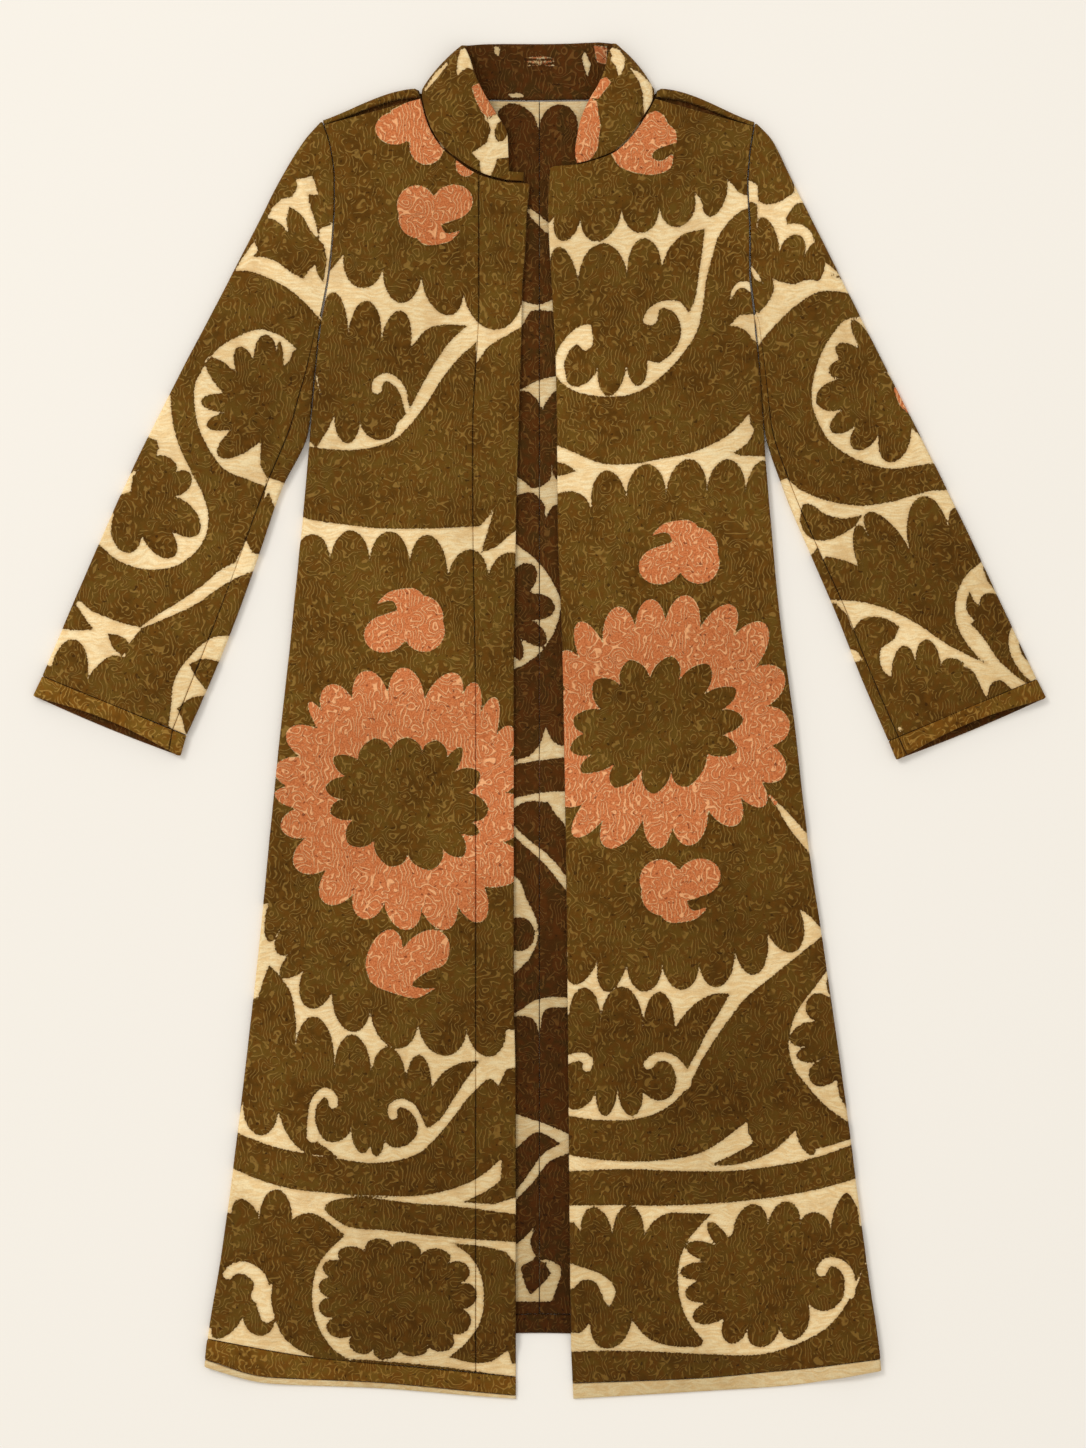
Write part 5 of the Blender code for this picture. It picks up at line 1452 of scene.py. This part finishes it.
def inside_motifs():
    """Motifs on the inside of the back, where it shows in the neck and between the fronts."""
    yield "cream", shape(
        (440, 95), (640, 95), (640, 150), (575, 150),
        lobes((578, 132), (560, 105), (539, 131.5), (514, 104), (497, 128), full=0.08),
        (440, 150),
    )
    yield "cream", stroke((527, 209, 1.5), (534, 216, 3.5), (548, 229, 4.5))
    yield "cream", shape(
        bend((510, 296), (521.9, 301), (535.8, 305.2), (560, 297)), (560, 313),
        bend((550.5, 311.5), (531.6, 311.5), (521.9, 326.3)), (510, 332),
    )
    yield "cream", shape(
        bend((510, 392), (521, 389.4), (537.9, 381), (565, 375)), (565, 390),
        bend((554.7, 391.5), (546.3, 402), (542.1, 410.5)),
        bend((542.1, 410.5), (535.8, 397.8), (525.3, 391), (510, 396)),
    )
    yield "cream", shape(
        bend((505, 475), (517.7, 477.8), (533.7, 488.3), (551, 479), (551, 463)),
        bend((551, 463), (557, 480), (570, 485)), (565, 500), (551, 508), (545.5, 519.9),
        bend((545, 505), (531.6, 492.5), (518.9, 494.6), (505, 500)),
    )
    yield "cream", shape(
        bend((500, 535), (516.8, 545.2), (533.7, 557.8), (550.5, 578.8), (561, 604.1),
             (556.8, 625.1), (537.9, 654.6), (518.9, 667.2), (500, 672)),
    )
    yield "olive", shape(lobes(
        (512, 573), (535, 567), (527, 594), (555, 606), (532, 620), (546, 644), (519, 636),
        (521, 660), (505, 640), (490, 606), (512, 573), full=0.2,
    ))
    yield "cream", shape(
        (500, 762), bend((516.8, 759.8), (531, 755), (541, 742), (545.5, 726)),
        bend((545.5, 726), (554.7, 743), (575, 747)), (575, 758),
        bend((563.1, 757.7), (542.1, 759.8), (500, 768)),
    )
    yield "cream", shape(
        bend((505, 801), (525.3, 795.6), (542.1, 792.6), (575, 791)), (575, 840), (561, 820),
        (554, 812), (548.4, 801.9), bend((548, 801.9), (525.3, 801.9), (505, 815)),
    )
    yield "cream", stroke((508, 825, 3.5), (526, 842, 3.6), (544, 857, 4.2), (570, 888, 4.5))
    yield "cream", shape(bend((500, 870), (517.9, 878.6), (527, 900), (535.7, 917.9),
                              (538.6, 932.1), (532.1, 953.6), (500, 985)))
    yield "olive", oval(519, 934, 16, 17)
    yield "cream", shape(
        bend((500, 1015), (516, 1012), (535.7, 1000), (542.9, 998.2), (575, 997)), (575, 1006),
        bend((566, 1007.1), (546, 1009), (539.3, 1033.9)), bend((539.3, 1033.9), (533.9, 1019.6),
                                                               (516, 1016), (500, 1021)),
    )
    yield "cream", shape(
        bend((500, 1106), (517.9, 1114.3), (539.3, 1121.4), (557.1, 1128.6), (580, 1139)),
        (580, 1148), bend((566, 1153.6), (550, 1160.7), (535.7, 1178.6), (500, 1215)),
    )
    yield "olive", shape(
        bend((505, 1160), (521.4, 1142.9), (535.7, 1132.1), (561, 1143)),
        bend((561, 1143), (542.9, 1153.6), (530.4, 1171.4), (505, 1205)),
    )
    yield "cream", shape(
        bend((505, 1250), (517.9, 1242.9), (536, 1225)),
        bend((536, 1225), (530.4, 1242.9), (536, 1257)), (551.8, 1260.7), (561, 1266),
        (561, 1275), (552, 1301), (505, 1301),
    )
    yield "olive", shape((520, 1266), bend((536, 1258), (546, 1264), (551, 1274)),
                         bend((551, 1274), (542, 1284), (530.4, 1294.6)), (525, 1284))


def work(tree, operation, *values):
    """The result of a sum on sockets or numbers."""
    node = tree.nodes.new("ShaderNodeMath")
    node.operation = operation
    for place, value in enumerate(values):
        put(tree, value, node.inputs[place])
    return node.outputs[0]


def put(tree, value, socket):
    """Link a socket, or set its value."""
    if isinstance(value, bpy.types.NodeSocket):
        tree.links.new(value, socket)
    else:
        socket.default_value = value


def within(tree, value, start, end):
    """From 0 to 1 while the value goes from start to end."""
    node = tree.nodes.new("ShaderNodeMapRange")
    node.interpolation_type = "SMOOTHSTEP"
    put(tree, value, node.inputs["Value"])
    node.inputs["From Min"].default_value = start
    node.inputs["From Max"].default_value = end
    return node.outputs[0]


def blend(tree, amount, first, second, how="MIX"):
    """A mix of two colours."""
    node = tree.nodes.new("ShaderNodeMixRGB")
    node.blend_type = how
    put(tree, amount, node.inputs["Fac"])
    for colour, place in ((first, "Color1"), (second, "Color2")):
        opaque = colour if isinstance(colour, bpy.types.NodeSocket) else (*colour, 1)
        put(tree, opaque, node.inputs[place])
    return node.outputs[0]


def clouds(tree, where, size, detail=2.0):
    """Soft random values with features of about this size in millimetres: a value and a colour."""
    node = tree.nodes.new("ShaderNodeTexNoise")
    tree.links.new(where, node.inputs["Vector"])
    node.inputs["Scale"].default_value = 1 / size
    node.inputs["Detail"].default_value = detail
    return node.outputs[0], node.outputs[1]


def scaled(tree, where, x, y, z):
    """Coordinates stretched along their axes."""
    node = tree.nodes.new("ShaderNodeVectorMath")
    node.operation = "MULTIPLY"
    tree.links.new(where, node.inputs[0])
    node.inputs[1].default_value = (x, y, z)
    return node.outputs[0]


def shifted(tree, where, colour, reach):
    """Coordinates moved about by a random colour, up to so many millimetres."""
    centred = tree.nodes.new("ShaderNodeVectorMath")
    centred.operation = "MULTIPLY_ADD"
    tree.links.new(colour, centred.inputs[0])
    centred.inputs[1].default_value = (2 * reach, 2 * reach, 2 * reach)
    centred.inputs[2].default_value = (-reach, -reach, -reach)
    moved = tree.nodes.new("ShaderNodeVectorMath")
    moved.operation = "ADD"
    tree.links.new(where, moved.inputs[0])
    tree.links.new(centred.outputs[0], moved.inputs[1])
    return moved.outputs[0]


def rings_round(tree, where, size, spacing):
    """Rings round scattered centres, about so far apart in millimetres: a wave from -1 to 1."""
    node = tree.nodes.new("ShaderNodeTexVoronoi")
    tree.links.new(where, node.inputs["Vector"])
    node.inputs["Scale"].default_value = 1 / size
    return work(tree, "SINE", work(tree, "MULTIPLY", node.outputs["Distance"],
                                   2 * math.pi * size / spacing))


# The stitching's sizes in millimetres, and how fast its worms and strokes repeat.
WARP_SIZE = 13.0
WARP_REACH = 7.0
RING_SIZE = 14.0
RING_SPACING = 4.0
WORM_SIZE = 13.0
WORM_REACH = 3.0
WORM_ROWS = 50.0
STROKE_ROWS = 1.75
PLOT_SIZE = 15.0  # about how wide a patch of one kind of row is
BREAK_SIZE = 7.0

ROW_HEIGHT = 0.0013  # metres, as the bump takes it

# Sizes in millimetres of what varies in the cloth's colours.
ROUGH_EDGE = 2.2
ROUGH_REACH = 2.4
EDGE_BLUR = 0.35
# Painted shade: how far in from the olive figures' edges their colour darkens.
PAINTED_RIM_SHADE_WIDTH = 2.6
# Painted shadow: how far out from the olive figures the cream darkens.
PAINTED_SHADOW_WIDTH = 3.0
MOTTLE = 38.0
WEAR = 210.0
SPECK = 1.5
PIT = 4.0
BROWN_SPOT = 9.0
STAIN = 30.0
WAVE = 24.0
WRINKLE = 2.4


def quilting(tree, where):
    """Close rows of stitched ridges in loops, worms and strokes, from 0 between them to 1 on them."""
    warp = clouds(tree, where, WARP_SIZE, 1.0)[1]
    warped = shifted(tree, where, warp, WARP_REACH)
    rings = rings_round(tree, warped, RING_SIZE, RING_SPACING)
    hills = clouds(tree, shifted(tree, where, warp, WORM_REACH), WORM_SIZE, 0.0)[0]
    worms = work(tree, "SINE", work(tree, "MULTIPLY", hills, WORM_ROWS))
    columns = tree.nodes.new("ShaderNodeSeparateXYZ")
    tree.links.new(warped, columns.inputs[0])
    strokes = work(tree, "SINE", work(tree, "MULTIPLY", columns.outputs[0], STROKE_ROWS))
    place = clouds(tree, scaled(tree, where, 1.0, 0.6, 1.0), PLOT_SIZE, 0.0)[0]
    ringed = within(tree, place, 0.42, 0.46)
    upright = within(tree, place, 0.56, 0.60)
    rows = work(tree, "ADD", work(tree, "MULTIPLY", worms, work(tree, "SUBTRACT", 1.0, ringed)),
                work(tree, "MULTIPLY", rings, work(tree, "SUBTRACT", ringed, upright)))
    rows = work(tree, "ADD", rows, work(tree, "MULTIPLY", strokes, upright))
    broken = within(tree, clouds(tree, where, BREAK_SIZE, 0.0)[0], 0.28, 0.46)
    return work(tree, "MULTIPLY", within(tree, rows, 0.1, 0.95), broken)


def part_of(tree, value, amount):
    """So much of a value."""
    return work(tree, "MULTIPLY", value, amount)


def tinted(tree, colour, tint):
    """A colour with a tint laid over it."""
    return blend(tree, 1.0, colour, tint, "MULTIPLY")


def dark_cloth(tree, where, rows, pits, to_olive, olive):
    """The olive figures: mottled, brown in spots, with painted shade at their rims and paler on their
    rows.
    """
    mottle = within(tree, clouds(tree, where, MOTTLE, 3.0)[0], 0.36, 0.64)
    colour = blend(tree, mottle, olive["deep"], olive["green"])
    brown = within(tree, clouds(tree, where, BROWN_SPOT, 1.0)[0], 0.38, 0.66)
    colour = blend(tree, brown, colour, olive["brown"])
    # Painted shade: the olive darkened just inside its edges, where the raised figures slope down.
    rim = within(tree, to_olive, -PAINTED_RIM_SHADE_WIDTH, 0.0)
    colour = blend(tree, part_of(tree, rim, 0.35), colour, olive["edge"])
    colour = blend(tree, part_of(tree, rows, 0.55), colour, olive["row"])
    return blend(tree, part_of(tree, pits, 0.7), colour, olive["edge"])


def coral_cloth(tree, rows, pits, speck, coral):
    """The coral figures: flecked, with pale rows and dark pits."""
    colour = blend(tree, within(tree, speck, 0.35, 0.65), coral["deep"], coral["base"])
    colour = blend(tree, part_of(tree, rows, 0.8), colour, coral["row"])
    return blend(tree, part_of(tree, pits, 0.85), colour, coral["pit"])


def pale_cloth(tree, where, wrinkle, to_olive, cream):
    """The cream cloth between the figures: painted shade in its wrinkles, stains, and painted shadow
    close to the olive.
    """
    # Painted shade: the cream darker where its wrinkles sink, in step with the bump's troughs.
    colour = blend(tree, within(tree, wrinkle, 0.36, 0.66), cream["shade"], cream["base"])
    stain = within(tree, clouds(tree, where, STAIN, 3.0)[0], 0.52, 0.72)
    colour = blend(tree, part_of(tree, stain, 0.5), colour, cream["stain"])
    # Painted shadow: the cream darkened beside the olive figures.
    painted_shadow = within(tree, to_olive, PAINTED_SHADOW_WIDTH, 0.0)
    return blend(tree, part_of(tree, painted_shadow, 0.34), colour, cream["painted_shadow"])


def painted_shade_down_right(tree, where):
    """From 0 at the kaftan's upper left to 1 at its lower right: how much painted shade darkens the
    cloth there.
    """
    place = tree.nodes.new("ShaderNodeSeparateXYZ")
    tree.links.new(where, place.inputs[0])
    return within(tree, work(tree, "SUBTRACT", place.outputs[0], place.outputs[1]), -100.0, 600.0)


def relief(tree, surface, stitched, rows, wrinkle, speck, depth):
    """Bump the surface: stitched rows on the figures, wrinkles on the plain cloth, and threads."""
    plain = work(tree, "SUBTRACT", 1.0, stitched)
    ridges = work(tree, "MULTIPLY", stitched, part_of(tree, rows, 0.9))
    folds = work(tree, "MULTIPLY", plain, part_of(tree, wrinkle, 1.1))
    height = work(tree, "ADD", work(tree, "ADD", ridges, folds), part_of(tree, speck, 0.3))
    bump = tree.nodes.new("ShaderNodeBump")
    bump.inputs["Distance"].default_value = ROW_HEIGHT * depth
    bump.inputs["Strength"].default_value = 0.75
    tree.links.new(height, bump.inputs["Height"])
    tree.links.new(bump.outputs["Normal"], surface.inputs["Normal"])


def embroidered(name, olive, coral, cream, depth=1.0):
    """Quilted cloth with its figures in three colours, and painted shade towards its lower right. Each
    colour: between the rows, and on them.
    """
    made = bpy.data.materials.new(name)
    made.use_nodes = True
    tree = made.node_tree
    surface = tree.nodes["Principled BSDF"]
    fields = {}
    for field in ("olive", "coral", "grain"):
        node = tree.nodes.new("ShaderNodeAttribute")
        node.attribute_name = field
        fields[field] = node.outputs["Vector" if field == "grain" else "Fac"]
    where = fields["grain"]
    rough_edge = work(tree, "SUBTRACT", clouds(tree, where, ROUGH_EDGE, 1.0)[0], 0.5)
    rough_edge = part_of(tree, rough_edge, ROUGH_REACH)
    to_olive = work(tree, "ADD", fields["olive"], rough_edge)
    to_coral = work(tree, "ADD", fields["coral"], rough_edge)
    in_olive = within(tree, to_olive, EDGE_BLUR, -EDGE_BLUR)
    in_coral = within(tree, to_coral, EDGE_BLUR, -EDGE_BLUR)
    rows = quilting(tree, where)
    speck = clouds(tree, where, SPECK, 2.0)[0]
    pits = within(tree, clouds(tree, where, PIT, 0.0)[0], 0.26, 0.20)
    waves = shifted(tree, where, clouds(tree, where, WAVE, 1.0)[1], WARP_REACH)
    wrinkle = clouds(tree, scaled(tree, waves, 0.16, 1.0, 1.0), WRINKLE, 2.0)[0]
    # Painted shade: the cloth darker towards its lower right, as if lit from the upper left.
    shade = painted_shade_down_right(tree, where)

    dark = dark_cloth(tree, where, rows, pits, to_olive, olive)
    # Painted shade on the olive towards the lower right.
    dark = blend(tree, shade, dark, tinted(tree, dark, (0.88, 0.86, 0.80)))
    pale = pale_cloth(tree, where, wrinkle, fields["olive"], cream)
    colour = blend(tree, in_olive, pale, dark)
    colour = blend(tree, in_coral, colour, coral_cloth(tree, rows, pits, speck, coral))
    worn = within(tree, clouds(tree, where, WEAR, 1.0)[0], 0.36, 0.62)
    colour = blend(tree, worn, tinted(tree, colour, (0.84, 0.83, 0.80)), colour)
    # Painted shade on all the colours towards the lower right.
    colour = blend(tree, shade, colour, tinted(tree, colour, (0.86, 0.84, 0.80)))
    thread = blend(tree, within(tree, speck, 0.2, 0.8), (0.55, 0.55, 0.55), (1.3, 1.3, 1.3))
    colour = blend(tree, 0.22, colour, thread, "MULTIPLY")
    tree.links.new(colour, surface.inputs["Base Color"])
    surface.inputs["Roughness"].default_value = 0.88
    surface.inputs["Specular IOR Level"].default_value = 0.06
    surface.inputs["Sheen Weight"].default_value = 0.015
    surface.inputs["Sheen Roughness"].default_value = 0.6
    relief(tree, surface, work(tree, "MAXIMUM", in_olive, in_coral), rows, wrinkle, speck, depth)
    return made


def studio_floor():
    """A plain pale floor, faintly uneven in tone."""
    made = bpy.data.materials.new("floor_paint")
    made.use_nodes = True
    tree = made.node_tree
    surface = tree.nodes["Principled BSDF"]
    spot = tree.nodes.new("ShaderNodeTexCoord").outputs["Object"]
    tone = clouds(tree, scaled(tree, spot, 1000.0, 1000.0, 1000.0), 600.0, 1.0)[0]
    colour = blend(tree, tone, (0.90, 0.86, 0.79), (0.92, 0.88, 0.81))
    tree.links.new(colour, surface.inputs["Base Color"])
    surface.inputs["Roughness"].default_value = 1.0
    surface.inputs["Specular IOR Level"].default_value = 0.0
    return made


def plain_face(fields):
    """Cloth all in the dark colour."""
    fields["olive"][:] = -FAR


def covered(motifs, fields):
    """The motifs of a piece, laid in turn over its dark ground."""
    plain_face(fields)
    for motif in motifs:
        for colour, figure in motif():
            paint(fields, colour, figure)


def fields_at(x, y):
    """Empty pattern fields at points in millimetres."""
    far = np.full(len(x), FAR)
    return {"x": x / PIXEL + PLAN_X, "y": PLAN_Y - y / PIXEL, "olive": far, "coral": far.copy()}


def pattern_of(face, back, points, inside, sideways=None):
    """The pattern's fields on a piece's points: one list of motifs for each side of the cloth.

    sideways moves the face's places across before its motifs are laid.
    """
    values = {"olive": np.zeros(len(points)), "coral": np.zeros(len(points))}
    for side, motifs in ((~inside, face), (inside, back)):
        fields = fields_at(points[side, 0], points[side, 1])
        if sideways and motifs is face:
            fields["x"] = sideways(fields["x"])
        covered(motifs, fields)
        for key in values:
            values[key][side] = np.clip(fields[key], -REACH, REACH) * PIXEL
    values["grain"] = points.astype(np.float32)
    return values


def spread(side, x):
    """Places across a half of the back, drawn out so that a front's motifs reach the centre seam."""
    edge = PLAN_X + (EDGE_RIGHT if side == "right" else EDGE_LEFT)[0][1] / PIXEL
    hem = PLAN_X + (SIDE_RIGHT if side == "right" else SIDE_LEFT)[0][1] / PIXEL
    return edge + (x - PLAN_X) / (hem - PLAN_X) * (hem - edge)


def back_pattern(side, points, inside):
    """The back's outer face carries the fronts' motifs, and its inside has its own."""
    face = RIGHT_FRONT if side == "right" else LEFT_FRONT
    return pattern_of(face, [inside_motifs], points, inside, partial(spread, side))


RIGHT_FRONT = [right_front_top, right_front_middle, right_front_foot]
LEFT_FRONT = [left_front_top, left_front_middle, left_front_bands, left_front_foot]
PATTERNS = {
    "front_right": partial(pattern_of, RIGHT_FRONT, []),
    "front_band_right": partial(pattern_of, RIGHT_FRONT, []),
    "front_left": partial(pattern_of, LEFT_FRONT, []),
    "sleeve_right": partial(pattern_of, [right_sleeve_top, right_sleeve_foot], []),
    "sleeve_left": partial(pattern_of, [left_sleeve_top, left_sleeve_foot], []),
    "collar": partial(pattern_of, [collar_motifs], [collar_inside_motifs]),
    "back_right": partial(back_pattern, "right"),
    "back_left": partial(back_pattern, "left"),
}

# Olive: its edge colour is the dark of the painted shade at the figures' rims, and it is also used for
# the dark pits.
OLIVE = {
    "deep": (0.096, 0.039, 0.0030), "green": (0.142, 0.074, 0.0085), "brown": (0.140, 0.056, 0.0050),
    "edge": (0.040, 0.014, 0.001), "row": (0.36, 0.205, 0.045),
}
CORAL = {
    "deep": (0.54, 0.145, 0.043), "base": (0.68, 0.22, 0.075), "row": (0.98, 0.50, 0.23),
    "pit": (0.26, 0.06, 0.018),
}
# Cream: its darkest colour is the painted shadow beside the olive figures, and its shade colour the
# painted shade in its wrinkles.
CREAM = {
    "shade": (0.91, 0.64, 0.31), "base": (1.0, 0.80, 0.46), "stain": (0.72, 0.46, 0.20),
    "painted_shadow": (0.42, 0.24, 0.08),
}
# The inside's olive: the face's olive darkened, painted shade for the shadow inside the garment.
PAINTED_SHADE_INNER_OLIVE = {
    "deep": (0.055, 0.018, 0.0016), "green": (0.050, 0.022, 0.0026), "brown": (0.075, 0.022, 0.0022),
    "edge": (0.020, 0.006, 0.0006), "row": (0.170, 0.078, 0.017),
}


def darker(colours, amount):
    """The same colours with less light in them."""
    return {key: tuple(amount * part for part in colour) for key, colour in colours.items()}


FACE_CLOTH = embroidered("embroidered_face", OLIVE, CORAL, CREAM)
# The inside's coral and cream are darkened too: painted shade for the shadow inside the garment.
PAINTED_SHADE_INSIDE_CLOTH = embroidered("inside_face_painted_shade", darker(PAINTED_SHADE_INNER_OLIVE, 1.15), darker(CORAL, 0.7),
                           darker(CREAM, 0.77))
BAND_CLOTH = embroidered("dark_band_face", darker(OLIVE, 1.5), CORAL, CREAM, 0.8)
BINDING_CLOTH = embroidered("binding_face", OLIVE, CORAL, darker(CREAM, 0.85), 0.8)

# Columns: record slot, width and length of the cut in metres, its area, what it lies on.
PIECES = {
    "back_right": ("inside_cloth", 0.33, 1.22, 0.29, []),
    "back_left": ("inside_cloth", 0.335, 1.22, 0.295, []),
    "back_hem": ("inside_cloth", 0.65, 0.02, None, []),
    "front_right": ("embroidered_cloth", 0.26, 1.20, 0.225, ["back_right"]),
    "front_band_right": ("embroidered_cloth", 0.055, 1.15, 0.046, ["back_right"]),
    "front_left": ("embroidered_cloth", 0.32, 1.21, 0.275, ["back_left"]),
    "sleeve_right": ("embroidered_cloth", 0.38, 0.60, 0.134, []),
    "sleeve_left": ("embroidered_cloth", 0.38, 0.60, 0.134, []),
    "cuff_right": ("dark_band", 0.30, 0.0215, None, []),
    "cuff_left": ("dark_band", 0.30, 0.0215, None, []),
    "collar": ("embroidered_cloth", 0.45, 0.05, None, ["front_right", "front_left"]),
    "hem_band_right": ("dark_band", 0.298, 0.0216, None, ["back_right"]),
    "hem_binding_right": ("cream_binding", 0.298, 0.01, 0.0021, []),
    "hem_binding_left": ("cream_binding", 0.297, 0.0152, None, []),
}
CLOTH = {
    "embroidered_cloth": FACE_CLOTH, "inside_cloth": FACE_CLOTH, "dark_band": BAND_CLOTH,
    "cream_binding": BINDING_CLOTH,
}
FACE = {name: CLOTH[row[0]] for name, row in PIECES.items()}


def bound(points, inside):
    """The pale edging: no dark figure on its face."""
    values = pattern_of([], [], points, inside)
    values["olive"][:] = REACH
    return values


PATTERNS["hem_binding_right"] = bound
PATTERNS["hem_binding_left"] = bound

grids = {
    "front_right": (build_front_right(), 1),
    "front_band_right": (build_front_band(), 1),
    "front_left": (build_front_left(), 1),
    "collar": (build_collar(), 1),
}
binding_right, band_right, binding_left, back_hem = build_hems()
grids["hem_binding_right"] = (binding_right, 1)
grids["hem_band_right"] = (band_right, 1)
grids["hem_binding_left"] = (binding_left, 1)
grids["back_hem"] = (back_hem, -1)
for side in ("right", "left"):
    sleeve, cuff = build_sleeve(side)
    grids["sleeve_" + side] = (sleeve, -1 if side == "right" else 1)
    grids["cuff_" + side] = (cuff, -1 if side == "right" else 1)
skips = {}
for side in ("right", "left"):
    grid, skip = build_back(side)
    grids["back_" + side] = (grid, -1)
    skips["back_" + side] = skip

for name, (slot, width, length, area, under) in PIECES.items():
    grid, facing = grids[name]
    drawn = PATTERNS.get(name, partial(pattern_of, [], []))
    wall, step = (COLLAR_WALL, 1) if name == "collar" else (WALL, 4)
    made = cloth(name, grid, drawn, facing, wall, step, skip=skips.get(name))
    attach(made, "root")
    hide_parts(name)

FLOOR_REACH = 30.0
floor_corners = [(FLOOR_REACH * x, FLOOR_REACH * y, 0) for x, y in ((-1, -1), (1, -1), (1, 1), (-1, 1))]
floor_mesh = bpy.data.meshes.new("floor")
floor_mesh.from_pydata(floor_corners, [], [(0, 1, 2, 3)])
floor = bpy.data.objects.new("floor", floor_mesh)
bpy.context.scene.collection.objects.link(floor)
floor_mesh.materials.append(studio_floor())

world = bpy.data.worlds.new("studio")
world.use_nodes = True
world.node_tree.nodes["Background"].inputs["Color"].default_value = (1.0, 0.98, 0.95, 1)
world.node_tree.nodes["Background"].inputs["Strength"].default_value = 0.776
bpy.context.scene.world = world

lamp_data = bpy.data.lights.new("key", "AREA")
lamp_data.shape = "DISK"
lamp_data.size = 4.2
lamp_data.energy = 540
lamp = bpy.data.objects.new("key", lamp_data)
lamp.location = (-6.6, 6.0, 9.0)
bpy.context.scene.collection.objects.link(lamp)
lamp.rotation_euler = (-lamp.location).to_track_quat("-Z", "Y").to_euler()

camera_data = bpy.data.cameras.new("camera")
camera_data.lens = 80
camera = bpy.data.objects.new("camera", camera_data)
camera.location = (0.0034, -0.0031, 3.0891)
bpy.context.scene.collection.objects.link(camera)
bpy.context.scene.camera = camera

bpy.context.scene.view_settings.view_transform = "Standard"
